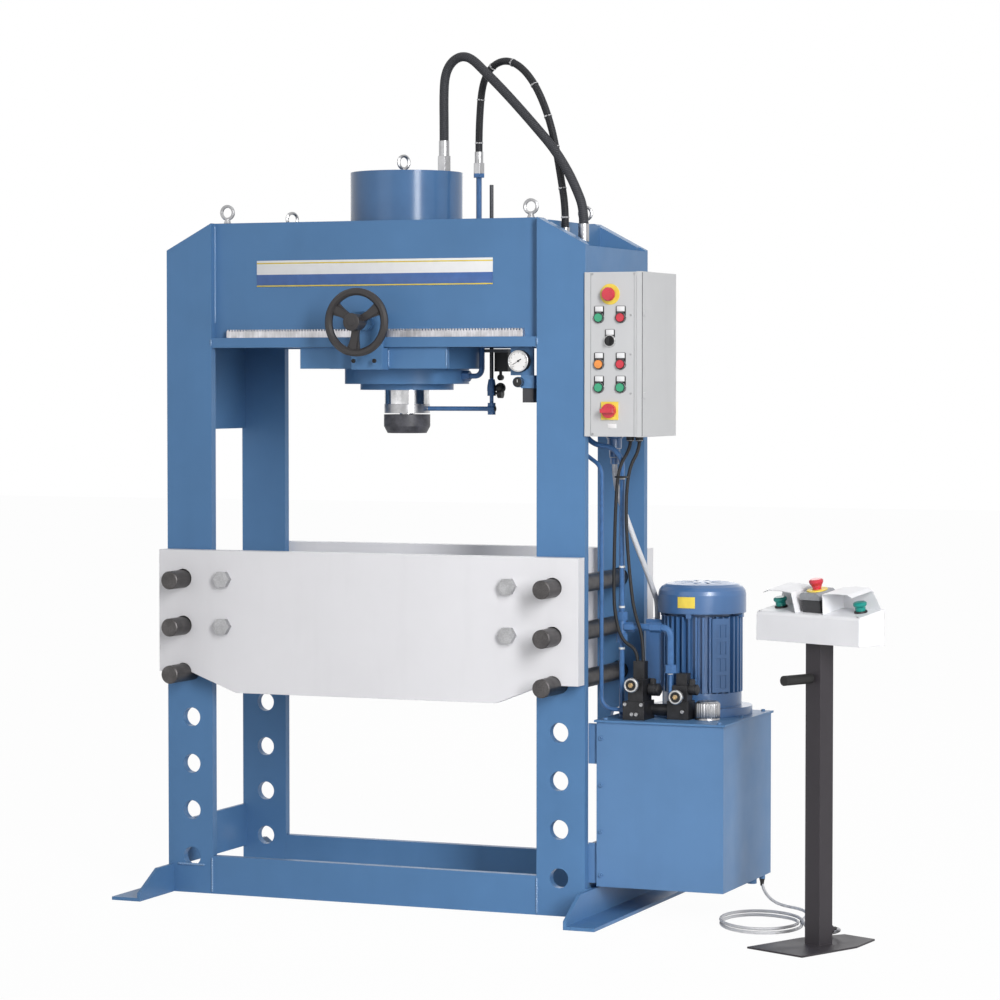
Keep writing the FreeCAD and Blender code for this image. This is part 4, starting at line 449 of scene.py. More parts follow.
# colour, roughness, and what differs from the maker's usual values
finishSettings = {
    paintedSteel: {
        "satinBluePaint": (pressBlue, 0.4, calm),
        "tankBluePaint": ((0.106, 0.216, 0.4), 0.4, calm),
        "castBluePaint": (deepBlue, 0.34, {"peel": 0.22, "coat": 0.5}),
        # the welds' blue is paler than the frame's: a painted highlight on top of their real gloss
        "weldPaint": ((0.13, 0.255, 0.45), 0.2, {"peel": 0.3, "coat": 0.8, "shine": 0.6}),
        "paleTablePaint": ((0.735, 0.73, 0.755), 0.46, {"peel": 0.08, "tone": 0.03}),
        "cabinetPaint": ((0.53, 0.535, 0.545), 0.5, {"peel": 0.16, "tone": 0.03}),
        "boxPaint": ((0.775, 0.775, 0.8), 0.45, {"peel": 0.08, "tone": 0.03}),
        "postPaint": ((0.036, 0.032, 0.037), 0.5, {"edge": 0.4, "coat": 0, "shine": 0.3}),
        "headPaint": ((0.06, 0.06, 0.07), 0.45,
                      {**dull, "peel": 0.4, "edge": 0.4, "cloudSize": 40, "tone": 0.5}),
        "wheelEnamel": ((0.036, 0.033, 0.034), 0.4, {"peel": 0.2, "edge": 0.3, "coat": 0.1, "shine": 0.3}),
        "valveBlack": ((0.014, 0.014, 0.016), 0.42, {**dull, "peel": 0.5, "cloudSize": 50, "tone": 0.5}),
        "screwBlack": (softBlack, 0.42, {**dull, "peel": 0.15}),
    },
    bareMetal: {
        "rackSteel": ((0.6, 0.59, 0.61), 0.46,
                      {"stretch": (1, 1, 0.02), "scale": 260, "depth": 0.2, "tone": 0.3, "stain": 0.3}),
        "darkPinSteel": ((0.1, 0.095, 0.095), 0.45,
                         {"stretch": (1, 0.05, 1), "scale": 260, "depth": 0.2, "tone": 0.3}),
        "machinedSteel": ((0.42, 0.42, 0.43), 0.34,
                          {"stretch": (0.05, 0.05, 1), "scale": 900, "depth": 0.12}),
        "brightZinc": (zinc, 0.34, {"scale": 240, "depth": 0.08, "tone": 0.2}),
        # broad upright bands of light and dark in the rod's colour: painted reflection strips
        "hardChrome": ((0.6, 0.6, 0.61), 0.16,
                       {"stretch": (1, 1, 0.02), "scale": 60, "depth": 0.05, "tone": 0.35}),
        "capChrome": ((0.4, 0.4, 0.41), 0.3,
                      {"stretch": (1, 1, 0.05), "scale": 120, "depth": 0.02, "tone": 0.25, "stain": 0.2}),
        "ringSteel": ((0.62, 0.62, 0.62), 0.3, {"scale": 240, "depth": 0.06, "tone": 0.1}),
        "brass": ((0.5, 0.36, 0.2), 0.35, {"scale": 240, "depth": 0.06, "tone": 0.15}),
    },
    moulding: {
        "blackMoulding": (softBlack, 0.45, {}),
        "greyMoulding": ((0.2, 0.205, 0.215), 0.45, {}),
        "gripRubber": ((0.014, 0.014, 0.014), 0.6, {"scale": 260, "depth": 0.3}),
        "greenLens": ((0.03, 0.33, 0.17), 0.28, {"coat": 0.4}),
        "redLens": ((0.55, 0.022, 0.045), 0.28, {"coat": 0.4}),
        "orangeLens": ((0.78, 0.27, 0.05), 0.28, {"coat": 0.4}),
        "tealCap": ((0.0, 0.235, 0.2), 0.3, {"coat": 0.3}),
        "yellowPlate": ((0.78, 0.6, 0.085), 0.4, {}),
        "whiteLabel": ((0.8, 0.8, 0.81), 0.55, {"depth": 0.02, "shine": 0.15, "tone": 0.02}),
        "dialWhite": ((0.82, 0.81, 0.8), 0.35, {"coat": 0.5}),
        "tiePale": ((0.42, 0.42, 0.43), 0.5, {}),
        "bandWhite": ((0.66, 0.67, 0.68), 0.45, {}),
        "stripeBlue": ((0.045, 0.12, 0.34), 0.35, {"coat": 0.3}),
        "stripeYellow": ((0.7, 0.56, 0.05), 0.4, {"coat": 0.3}),
    },
    ribbedSheath: {
        "hoseRubber": ((0.016, 0.017, 0.021), 0.55, {"pitch": 0.006, "depth": 0.0006, "turns": 3.0}),
        "dustyRubber": ((0.036, 0.037, 0.043), 0.6, {"pitch": 0.006, "depth": 0.0006, "turns": 3.0}),
        "leadRubber": ((0.014, 0.014, 0.015), 0.5, {"pitch": 0.0035, "depth": 0.0003}),
        "conduitSheath": ((0.64, 0.65, 0.68), 0.42, {"pitch": 0.0045, "depth": 0.0005, "tone": 0.08}),
        "cableSheath": ((0.56, 0.56, 0.58), 0.45, {"pitch": 0.0036, "depth": 0.0006, "tone": 0.12}),
    },
}

# the zones of a node: direction, limit, colour, metallic, roughness
zonedNodes = {
    "followerFinish": [(*everywhere, (0.06, 0.15, 0.33), 0.0, 0.38),
                       (upward, 1.58, (0.06, 0.062, 0.07), 0.6, 0.4),
                       (rightward, 0.2915, softBlack, 0.0, 0.42), (-rightward, -0.0715, zinc, 1.0, 0.3)],
    "portPipeFinish": [(*everywhere, deepBlue, 0.0, 0.34), (upward, 2.1985, zinc, 1.0, 0.32)],
    "oilPipeFinish": [(*everywhere, deepBlue, 0.0, 0.34), (upward, 1.97, zinc, 1.0, 0.32)],
    "switchFinish": [(*everywhere, (0.1, 0.105, 0.115), 0.5, 0.45),
                     (-upward, -1.6572, (0.016, 0.016, 0.018), 0.0, 0.45)],
    "gaugePlateFinish": [(*everywhere, pressBlue, 0.0, 0.42),
                         (-upward, -1.55, (0.05, 0.05, 0.056), 0.0, 0.5)],
    "stopCapFinish": [(*everywhere, (0.035, 0.036, 0.04), 0.0, 0.45),
                      ((-0.07835, -0.16803, 0.98266), 0.8767, (0.28, 0.29, 0.31), 0.0, 0.45)],
}

finishes = {}
for maker, rows in finishSettings.items():
    for name, (colour, roughness, extra) in rows.items():
        finishes[name] = maker(name, colour, roughness, **extra)
for name, zones in zonedNodes.items():
    finishes[name] = zonedFinish(name, *zones)
finishes["barrelBluePaint"] = zonedFinish("barrelBluePaint", (*everywhere, (0.066, 0.158, 0.325), 0.0, 0.2),
                                          (upward, 2.2067, zinc, 1.0, 0.34), mottle=3)
print("finishes made:", len(finishes))

nodeFinish = {
    "satinBluePaint": ("uprights", "crown_plates", "carriage_rails", "base_beams", "side_plates",
                       "foot_angles", "carriage_plate", "cylinder_gland", "wheel_bracket", "tank_lid"),
    "tankBluePaint": ("tank",),
    "barrelBluePaint": ("cylinder_barrel",),
    "castBluePaint": ("motor_housing", "motor_fan_cover"),
    "oilPipeFinish": ("oil_pipes",),
    "portPipeFinish": ("cylinder_pipes",),
    "gaugePlateFinish": ("gauge_bracket",),
    "paleTablePaint": ("table_plates",),
    "rackSteel": ("rack",),
    "cabinetPaint": ("cabinet", "cabinet_door"),
    "boxPaint": ("stand_box", "stand_guards"),
    "postPaint": ("stand_post",),
    "brightZinc": ("table_tie_bolts", "lifting_eyes"),
    "darkPinSteel": ("table_pins",),
    "machinedSteel": ("pinion_shaft", "pump", "motor_rotor"),
    "hardChrome": ("piston_rod",),
    "headPaint": ("press_head",),
    "followerFinish": ("stroke_follower",),
    "switchFinish": ("stroke_switch",),
    "wheelEnamel": ("handwheel",),
    "valveBlack": ("valve_blocks",),
    "blackMoulding": ("mode_selector", "pressure_gauge"),
    "greyMoulding": ("switchgear",),
    "stopCapFinish": ("stand_stop_housing",),
    "gripRubber": ("stand_grip",),
    "greenLens": ("pump_start_button", "ram_down_button", "ram_up_button"),
    "redLens": ("pump_stop_button", "ram_stop_button", "cabinet_stop", "main_switch", "stand_stop"),
    "orangeLens": ("reset_button",),
    "tealCap": ("left_palm_button", "right_palm_button"),
}

for finish, names in nodeFinish.items():
    for name in names:
        piece = nodes[name]
        for place in piece.material_slots:
            place.material = finishes[finish]
        if not piece.material_slots:
            piece.data.materials.append(finishes[finish])
print("nodes painted")



# hoses, leads and the cable of the stand

wideHose = {
    "diameter": 0.028,
    "start": (0.141, 0.216, 2.298),
    "end": (0.642, 0.086, 2.033),
    "drop": 0.046,
    "rubber": "dustyRubber",
    "ties": (),
    "line": [(0, 0), (0, 57), (-1, 125), (2, 193), (23, 232), (60, 252), (102, 245), (156, 199), (213, 150),
             (280, 88), (350, 20), (408, -38), (458, -104), (492, -163)],
}
slimHose = {
    "diameter": 0.022,
    "start": (0.242, 0.248, 2.264),
    "end": (0.567, 0.131, 2.025),
    "drop": 0.059,
    "rubber": "hoseRubber",
    "ties": (0.027, 0.168, 0.292, 0.381, 0.507, 0.628, 0.734, 0.87, 0.965),
    "line": [(0, 0), (0, 52), (4, 118), (10, 178), (25, 224), (58, 258), (106, 270), (153, 256), (198, 222),
             (237, 173), (270, 112), (297, 42), (315, -32), (331, -106)],
}
hoseTrim = {
    "tieWidth": 0.0034,
    "lockSize": (0.0055, 0.0055, 0.0035, 0.001),
    "wireRadius": 0.0017,
    "wireGap": 0.0006,
    "wireWay": (0.35, -0.94, 0.0),
    "wireRows": (4, -6),
    "bendMargin": 0.02,
    "bendLevel": (0.1, 2.1),
}


def declareCord(piece, start, path, diameter, stiffness, lay, told=None, **others):
    # picks every third point of the path, or the points it is told, and uses them no further
    told = told or path[::3].tolist() + [path[-1].tolist()]


def hoseRoute(settings):
    # the line's reach and rise are millimetres in the upright plane from start to end
    start, end = np.array(settings["start"]), np.array(settings["end"])
    way = (end - start)[:2] / np.linalg.norm((end - start)[:2])
    line = np.array(settings["line"], float) / 1000
    route = [(start[0] + way[0] * reach, start[1] + way[1] * reach, start[2] + rise) for reach, rise in line]
    return route + [(end[0], end[1], end[2] + settings["drop"]), tuple(end)]


def hoseTies(name, path, settings):
    # cable ties at shares of the hose's length, each with its little lock on the side
    s, side, other = alongPath(path)
    reach = settings["diameter"] / 2
    shapes = []
    for share in settings["ties"]:
        k = min(max(int(np.searchsorted(s, share * s[-1])), 1), len(s) - 2)
        axis = path[k + 1] - path[k - 1]
        axis /= np.linalg.norm(axis)
        shapes.append(bandShape(path[k], axis, reach, reach, hoseTrim["tieWidth"]))
        shapes.append(plateShape(path[k] + other[k] * reach, axis, np.cross(other[k], axis),
                                 *hoseTrim["lockSize"]))
    return surfacePiece(name + "Ties", shapes)


def hoseWire(name, path, settings):
    # a thin wire that the ties hold on the hose's side
    first, last = hoseTrim["wireRows"]
    beside = path + np.array(hoseTrim["wireWay"]) * (settings["diameter"] / 2 + hoseTrim["wireGap"])
    shape, uv = tubeShape(beside[first:last], hoseTrim["wireRadius"], 8)
    return surfacePiece(name + "Wire", [shape], uv)


def makeHose(name, settings, node):
    path = smoothRoute(name, hoseRoute(settings))
    shape, uv = tubeShape(path, settings["diameter"] / 2)
    pieces = [surfacePiece(name, [shape], uv)]
    if settings["ties"]:
        pieces.append(hoseTies(name, path, settings))
        pieces.append(hoseWire(name, path, settings))
    for part, finish in zip(pieces, (settings["rubber"], "tiePale", "leadRubber")):
        part.data.materials.append(finishes[finish])
        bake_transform(part)
    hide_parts(node)
    declareCord(pieces[0], settings["start"], path, settings["diameter"], "stiff", "hanging",
                with_pieces=pieces[1:])


makeHose("wideHose", wideHose, "wide_hose")
makeHose("slimHose", slimHose, "slim_hose")

motorConduit = {
    "diameter": 0.016,
    "route": [(0.721, 0.138, 1.326), (0.721, 0.138, 1.3), (0.727, 0.148, 1.237), (0.745, 0.174, 1.168),
              (0.765, 0.204, 1.086), (0.781, 0.24, 1.017), (0.787, 0.298, 0.942), (0.788, 0.33, 0.909),
              (0.788, 0.33, 0.861)],
}
rightValveLead = {
    "diameter": 0.01,
    "route": [(0.811, 0.102, 1.396), (0.811, 0.102, 1.37), (0.785, 0.086, 1.318), (0.777, 0.08, 1.22),
              (0.781, 0.08, 1.1), (0.791, 0.082, 0.98), (0.803, 0.084, 0.89), (0.83, 0.086, 0.82),
              (0.83, 0.086, 0.751)],
}
leftValveLead = {
    "diameter": 0.01,
    "route": [(0.783, 0.102, 1.396), (0.783, 0.102, 1.374), (0.754, 0.08, 1.318), (0.746, 0.08, 1.22),
              (0.742, 0.08, 1.1), (0.74, 0.08, 0.98), (0.742, 0.08, 0.89), (0.764, 0.08, 0.81),
              (0.812, 0.086, 0.784), (0.812, 0.086, 0.751)],
}


def makeLead(name, settings, finish):
    path = smoothRoute(name, settings["route"])
    shape, uv = tubeShape(path, settings["diameter"] / 2, 16)
    piece = addPiece(name, [shape], finish, "conduit_sheath", "electrical_leads", uv=uv)
    declareCord(piece, settings["route"][0], path, settings["diameter"], "medium", "hanging")


makeLead("motorConduit", motorConduit, "conduitSheath")
makeLead("rightValveLead", rightValveLead, "leadRubber")
makeLead("leftValveLead", leftValveLead, "leadRubber")

stand = {
    "place": (1.454, -0.207),
    "turn": math.radians(-25.0),
}
standCable = {
    "diameter": 0.009,
    "gland": (1.088, 0.427),
    "fall": [(0, 0, 0.078), (0, 0, 0.06), (0.009, -0.004, 0.04), (0.027, -0.012, 0.022),
             (0.055, -0.024, 0.009)],
    "floorRun": [(0.09, -0.04), (0.128, -0.062), (0.162, -0.097), (0.184, -0.143), (0.197, -0.191),
                 (0.203, -0.237)],
    "axisHeight": 0.00477,
    "leadIn": 0.042,
    "leadOut": 0.029,
    "tail": [(1.337, 0.045, 0.0135), (1.355, 0.01, 0.01), (1.381, -0.024, 0.007), (1.414, -0.05, 0.007),
             (1.442, -0.07, 0.012)],
    "rise": [(-0.042, 0.117, 0.018), (-0.018, 0.108, 0.027), (-0.003, 0.09, 0.035), (0, 0.07, 0.04),
             (0, 0.052, 0.04)],
}


coil = {
    "centre": (1.199, 0.061),
    "half": (0.121, 0.168),
    "lean": math.radians(22.4),
    "quarters": 8,
    "swing": 0.006,
    "step": 0.01,
    "points": 41,
}


def coilLine(quarter):
    # ovals from above, clockwise: inset = swing * (1 - cos(2 pi * quarter / quarters)); the line climbs
    # on itself from quarter 3.5 to 4.5
    inset = coil["swing"] * (1 - np.cos(2 * np.pi * quarter / coil["quarters"]))
    across = (coil["half"][0] - inset) * np.cos(np.pi / 2 * quarter)
    along = (inset - coil["half"][1]) * np.sin(np.pi / 2 * quarter)
    c, s = math.cos(coil["lean"]), math.sin(coil["lean"])
    x, y = coil["centre"]
    z = standCable["axisHeight"] + coil["step"] * np.clip(quarter - 3.5, 0, 1)
    return np.stack([x + across * c - along * s, y + across * s + along * c, z], axis=-1)


def coilHeading(quarter, step=0.01):
    # the level direction of the coil at a number of quarter turns
    way = np.diff(coilLine(np.array([quarter - step, quarter + step])), axis=0)[0]
    way[2] = 0
    return way / np.linalg.norm(way)


def besideStand(across, along, height):
    # across and along the stand's own axes, height from the floor
    c, s = math.cos(stand["turn"]), math.sin(stand["turn"])
    x, y = stand["place"]
    return (x + across * c - along * s, y + across * s + along * c, height)


def cableRoute():
    # from the tank's gland to the floor, round the coil and up to the post
    x, y = standCable["gland"]
    line = coilLine(np.linspace(0, coil["quarters"], coil["points"]))
    leadIn = line[0] - coilHeading(0) * standCable["leadIn"]
    leadOut = line[-1] + coilHeading(coil["quarters"]) * standCable["leadOut"]
    run = [(x + dx, y + dy, z) for dx, dy, z in standCable["fall"]]
    run += [(x + dx, y + dy, standCable["axisHeight"]) for dx, dy in standCable["floorRun"]]
    rise = [besideStand(*point) for point in standCable["rise"]]
    return run + [tuple(p) for p in (leadIn, *line, leadOut)] + standCable["tail"] + rise


def makeStandCable():
    route = cableRoute()
    path = smoothRoute("standCable", route, 6)
    shape, uv = tubeShape(path, standCable["diameter"] / 2, 14)
    piece = addPiece("standCable", [shape], "cableSheath", "cable_sheath", "stand_cable_run",
                     "stand_cable_coil", "stand_cable_end", uv=uv)
    declareCord(piece, route[0], path, standCable["diameter"], "medium", "coiled", told=path.tolist())


makeStandCable()


# crown: plain striped plate, and weld beads where the plates meet

crownPlace = (-0.004, 0.014, 1.8955)
crownPlate = {
    "crownPlateGround": ("whiteLabel", (0.0,), {"height": 0.08, "thick": 0.0008}),
    "crownPlateBand": ("stripeBlue", (-0.0212,), {"height": 0.0372, "thick": 0.0012}),
    "crownPlateLines": ("stripeYellow", (0.0318, -0.0368), {"height": 0.0036, "thick": 0.0016}),
}
for name, (finish, rises, size) in crownPlate.items():
    shapes = [frontPlate(crownPlace + upward * rise, width=0.774, corner=0.0003, **size) for rise in rises]
    addPiece(name, shapes, finish, "frame_paint")

# upright welds on both columns: reach from the middle, y, left foot, right foot, top
frameWelds = {
    "upright": [(0.5335, 0.0125, 1.745, 1.73, 2.046), (0.5345, -0.0125, 1.676, 1.676, 1.7),
                (0.5345, -0.0145, 0.004, 0.004, 0.112), (0.5335, 0.4995, 1.745, 1.745, 2.046),
                (0.5345, 0.5265, 0.004, 0.004, 0.112)],
    "level": ((-0.655, -0.0145, 0.0875), (-0.56, -0.0145, 0.0875)),
}
frameBeads = [beadShape(*frameWelds["level"])]
for x, y, leftFoot, rightFoot, top in frameWelds["upright"]:
    frameBeads.append(beadShape((-x, y, leftFoot), (-x, y, top)))
    frameBeads.append(beadShape((x, y, rightFoot), (x, y, top)))
addPiece("frameWelds", frameBeads, "weldPaint", "frame_paint", sharp=80)
print("crown dressed")


# cylinder carriage: screws of the wheel bracket, gauge and pressure switch

addTrim({
    "bracketScrews": ("machine_paint", "screwBlack", screwShape, [(-0.034, -0.061, 1.631),
        (0.034, -0.061, 1.631)],
        {"radius": 0.0065}),
}, "carriage")

carriageWelds = {
    "places": [(0.0525, 0.0), (-0.0525, 0.0), (0.2395, 0.0015)],
    "foot": 1.612,
    "top": 1.668,
    "size": {"radius": 0.0032, "wave": 0.006},
}
carriageBeads = [beadShape((x, y, carriageWelds["foot"]), (x, y, carriageWelds["top"]),
                           **carriageWelds["size"]) for x, y in carriageWelds["places"]]
addPiece("carriageWelds", carriageBeads, "weldPaint", "machine_paint", body="carriage", sharp=80)

spokeFlares = {
    "middle": (0.0, 1.745),
    "back": -0.106,
    "front": -0.1148,
    "reach": (0.022, 0.083),
    "halfWidths": (0.0112, 0.0225),
    "swell": 2.2,
    "points": 12,
    "angles": (30, 150, 262),
}


def flareShape(angle):
    # a blade on a spoke: half width = narrow + (wide - narrow) * share ** swell towards the rim
    share = np.linspace(0, 1, spokeFlares["points"])
    narrow, wide = spokeFlares["halfWidths"]
    near, far = spokeFlares["reach"]
    half = narrow + (wide - narrow) * share ** spokeFlares["swell"]
    along = near + (far - near) * share
    outline = np.concatenate([np.stack([along, -half], axis=1), np.stack([along, half], axis=1)[::-1]])
    c, s = math.cos(math.radians(angle)), math.sin(math.radians(angle))
    x = spokeFlares["middle"][0] + outline[:, 0] * c - outline[:, 1] * s
    z = spokeFlares["middle"][1] + outline[:, 0] * s + outline[:, 1] * c
    rows = [np.stack([x, np.full(len(x), y), z], axis=1) for y in (spokeFlares["back"], spokeFlares["front"])]
    return np.array(rows), "capped"


addTrim({
    "wheelCap": ("wheel_iron", "wheelEnamel", turnedShape, [(0.0, -0.1505, 1.745)],
        {"sides": 48,
         "profile": [(0.0262, 0.0), (0.0262, 0.003), (0.024, 0.0052), (0.012, 0.0062), (0.0115, 0.0075),
                     (0.004, 0.008)]}),
    "spokeFlares": ("wheel_iron", "wheelEnamel", flareShape, spokeFlares["angles"],
        {}),
}, "wheel")

follower = {
    "joint": (0.28, 0.256, 1.487),
    "jointRadius": 0.015,
    "collar": (0.28, 0.256, 1.542),
    "nut": [(0.0136, -0.002), (0.0136, 0.01), (0.0105, 0.03), (0.0092, 0.0345)],
    "knob": (0.309, 0.256, 1.55),
    "knobRadius": 0.016,
    "stem": [(0.0055, -0.022), (0.0055, -0.014), (0.008, -0.0135), (0.008, -0.01)],
    "sides": 32,
}


def ballProfile(radius):
    # (r, h) = radius * (cos a, sin a), with a small flat at each pole
    a = np.linspace(-0.46, 0.46, 15) * np.pi
    return radius * np.stack([np.cos(a), np.sin(a)], axis=1)


def makeFollowerTrim():
    # a ball joint at the arm's end, a tapered nut over it, and the round head of the clamping screw
    sides = follower["sides"]
    shapes = [turnedShape(follower["joint"], ballProfile(follower["jointRadius"]), upward, sides),
              turnedShape(follower["collar"], follower["nut"], upward, sides)]
    addPiece("followerJoint", shapes, "followerFinish", "black_steel", body="ram")
    shapes = [turnedShape(follower["knob"], profile, rightward, sides)
              for profile in (ballProfile(follower["knobRadius"]), follower["stem"])]
    addPiece("followerKnob", shapes, "blackMoulding", "black_steel", body="ram")


makeFollowerTrim()

# a tick and a hand of the pointer are width, length; a hand's reach comes first
gauge = {
    "centre": (0.471, -0.003, 1.63),
    "ticks": 33,
    "tickTop": 0.0265,
    "tickRise": 0.0006,
    "tickThick": 0.0002,
    "longTick": (0.0011, 0.005),
    "shortTick": (0.0006, 0.003),
    "longEvery": 4,
    "sweep": 270,
    "pointerTurn": 58,
    "pointerRise": 0.0012,
    "pointerThick": 0.0004,
    "hands": [(-0.0085, 0.0014, 0.026), (0.006, 0.0034, 0.009)],
    "hub": [(0.0032, 0.001), (0.0032, 0.0022), (0.002, 0.0028)],
}


def dialMark(turn, reach, rise, width, long, thick):
    # a flat mark on the dial that points outwards, turned clockwise from the top
    x, y, z = gauge["centre"]
    c, s = math.cos(math.radians(turn)), math.sin(math.radians(turn))
    return plateShape((x + reach * s, y - rise, z + reach * c), (c, 0, -s), (s, 0, c), width, long, thick)


def makeMarks():
    marks = []
    for k in range(gauge["ticks"]):
        turn = (k / (gauge["ticks"] - 1) - 0.5) * gauge["sweep"]
        width, long = gauge["shortTick"] if k % gauge["longEvery"] else gauge["longTick"]
        marks.append(dialMark(turn, gauge["tickTop"] - long / 2, gauge["tickRise"], width, long,
                              gauge["tickThick"]))
    for reach, width, long in gauge["hands"]:
        marks.append(dialMark(gauge["pointerTurn"], reach, gauge["pointerRise"], width, long,
                              gauge["pointerThick"]))
    marks.append(turnedShape(gauge["centre"], gauge["hub"], sides=20))
    addPiece("gaugeMarks", marks, "screwBlack", "gauge_case")


makeMarks()
addTrim({
    "gaugeDial": ("gauge_case", "dialWhite", turnedShape, [gauge["centre"]],
        {"profile": [(0.0284, 0), (0.0284, 0.0006)], "sides": 56}),
    "gaugeRim": ("gauge_case", "ringSteel", turnedShape, [gauge["centre"]],
        {"sides": 56, "kind": "looped",
         "profile": [(0.0284, 0.0022), (0.0318, 0.0022), (0.0318, 0.0034), (0.0308, 0.0042),
                     (0.0284, 0.0036)]}),
    "pressureKnob": ("gauge_case", "blackMoulding", turnedShape, [(0.469, -0.006, 1.568)],
        {"sides": 96, "flutes": 24, "depth": 0.05,
         "profile": [(0.0152, -0.019), (0.0156, -0.018), (0.0156, -0.001), (0.0142, 0.0006)]}),
    "pressureKnobMark": ("gauge_case", "whiteLabel", frontPlate, [(0.469, -0.0066, 1.5715)],
        {"width": 0.002, "height": 0.008, "thick": 0.0003}),
})
print("gauge dressed")


# control cabinet

panel = {
    "middle": 0.764,
    "front": -0.02,
    "halfway": 1.6485,
    "pitchX": 0.0335,
    "pitchZ": 0.0675,
    "upperRow": 1.755,
    "buttons": [(-1, 0), (1, 0), (0, 1), (-1, 2), (1, 2), (-1, 3), (1, 3)],
    "holeRadius": 0.0124,
    "bezelRadius": 0.0154,
    "holderHalf": 0.0152,
    "holderTop": 0.034,
    "holderRound": 0.0162,
    "insertPlace": (0, -0.0014, 0.0252),
    "switchHalf": 0.0262,
    "seams": (0.7043, 0.8383),
    "screws": [(0.7103, 1.881), (0.839, 1.881), (0.8277, 1.762), (0.8277, 1.649), (0.8277, 1.535),
               (0.7103, 1.417)],
}


def onPanel(column, row):
    return np.array([panel["middle"] + panel["pitchX"] * column, panel["front"],
                     panel["upperRow"] - panel["pitchZ"] * row])


def holderEdge(a):
    # round below the button, upright sides and a straight top above it
    c, s = np.abs(np.cos(a)), np.abs(np.sin(a))
    square = 1 / np.maximum(c / panel["holderHalf"], s / panel["holderTop"])
    return np.where(np.sin(a) > 0, square, panel["holderRound"])


def switchEdge(a):
    return panel["switchHalf"] / np.maximum(np.abs(np.cos(a)), np.abs(np.sin(a)))


def coverRing(centre, hole, edge, back, front, chamfer=0.0006):
    # a thin sleeve over a raised ring: profile hole, edge, back to front
    profile = [(hole, back), (edge, back), (edge, front - chamfer), (edge - chamfer, front), (hole, front)]
    return turnedShape(centre, profile, sides=48, kind="looped")


buttonPlaces = [onPanel(*spot) for spot in panel["buttons"]]
addTrim({
    "doorSeam": ("cabinet_grey", "screwBlack", frontPlate, [(0.8636, -0.021, panel["halfway"])],
        {"width": 0.0016, "height": 0.474, "thick": 0.0003}),
}, "cabinet_door")
addTrim({
    "legendHolders": ("plastic_black", "blackMoulding", collarShape, buttonPlaces,
        {"hole": panel["holeRadius"], "outline": holderEdge, "thick": 0.0016}),
    "legendInserts": ("cabinet_grey", "whiteLabel", frontPlate,
        [place + panel["insertPlace"] for place in buttonPlaces],
        {"width": 0.0242, "height": 0.015, "thick": 0.0009, "corner": 0.0012}),
    "buttonBezels": ("plastic_black", "blackMoulding", coverRing, buttonPlaces,
        {"hole": panel["holeRadius"], "edge": panel["bezelRadius"], "back": 0.0012, "front": 0.0073}),
    "selectorRing": ("cabinet_grey", "ringSteel", coverRing, [onPanel(0, 1)],
        {"hole": panel["bezelRadius"], "edge": 0.0176, "back": 0.0012, "front": 0.0052}),
    "stopRing": ("cabinet_grey", "yellowPlate", coverRing, [onPanel(0, -1)],
        {"hole": panel["holeRadius"], "edge": 0.0303, "back": 0.0, "front": 0.0023}),
    "mainSwitchPlate": ("cabinet_grey", "yellowPlate", collarShape, [onPanel(0, 4)],
        {"hole": 0.0088, "outline": switchEdge, "thick": 0.00415}),
    "cabinetPlate": ("cabinet_grey", "whiteLabel", frontPlate, [(0.7705, panel["front"], 1.4405)],
        {"width": 0.027, "height": 0.013, "thick": 0.0008, "corner": 0.0008}),
    "cabinetSeams": ("cabinet_grey", "greyMoulding", frontPlate,
        [(x, panel["front"], panel["halfway"]) for x in panel["seams"]],
        {"width": 0.0011, "height": 0.471, "thick": 0.0003}),
    "cabinetScrews": ("cabinet_grey", "machinedSteel", screwShape,
        [(x, panel["front"], z) for x, z in panel["screws"]],
        {"radius": 0.003}),
    "conduitFitting": ("machine_paint", "castBluePaint", turnedShape, [(0.721, 0.138, 1.41)],
        {"axis": -upward,
         "profile": [(0.0245, 0.0), (0.0245, 0.007), (0.0208, 0.009), (0.0206, 0.036), (0.016, 0.04),
                     (0.0158, 0.062), (0.0118, 0.066), (0.0116, 0.0835), (0.009, 0.0845)]}),
})

leadGlands = {
    "places": [(0.783, 0.102, 1.41), (0.811, 0.102, 1.41)],
    "gland": {"sides": 48, "flutes": 12, "depth": 0.04,
              "profile": [(0.0125, 0.0), (0.0125, 0.005), (0.0116, 0.006), (0.0116, 0.0125),
                          (0.0085, 0.0155), (0.006, 0.0165)]},
    "tie": (0.765, 0.081, 1.29),
    "tieSize": {"reachA": 0.022, "reachB": 0.008, "width": 0.005},
}
glands = [turnedShape(place, axis=-upward, **leadGlands["gland"]) for place in leadGlands["places"]]
glands.append(bandShape(leadGlands["tie"], upward, **leadGlands["tieSize"]))
addPiece("leadGlands", glands, "blackMoulding", "plastic_black")
print("cabinet dressed")


# power unit

# a coil is its place, radius and length, and its profile is in shares of both
coils = {
    "bodies": [((0.848, 0.09, 0.668), 0.0185, 0.036), ((0.958, 0.128, 0.668), 0.016, 0.03)],
    "profile": [(1, 0), (1, 0.55), (0.9, 0.6), (1, 0.65), (1, 0.85), (0.6, 1), (0.25, 1)],
    "plugPlace": (0.3, 0.7),
    "plug": [(0.01, 0), (0.01, 0.016), (0.007, 0.02)],
}


def makeCoils():
    # round solenoid housings on the sides of the valves, ribbed at their ends, each with its plug
    along, up = coils["plugPlace"]
    shapes = []
    for place, radius, long in coils["bodies"]:
        shapes.append(turnedShape(place, np.array(coils["profile"]) * (radius, long), rightward))
        foot = place + rightward * long * along + upward * radius * up
        shapes.append(turnedShape(foot, coils["plug"], upward, 6))
    addPiece("valveCoils", shapes, "valveBlack", "valve_black")


makeCoils()

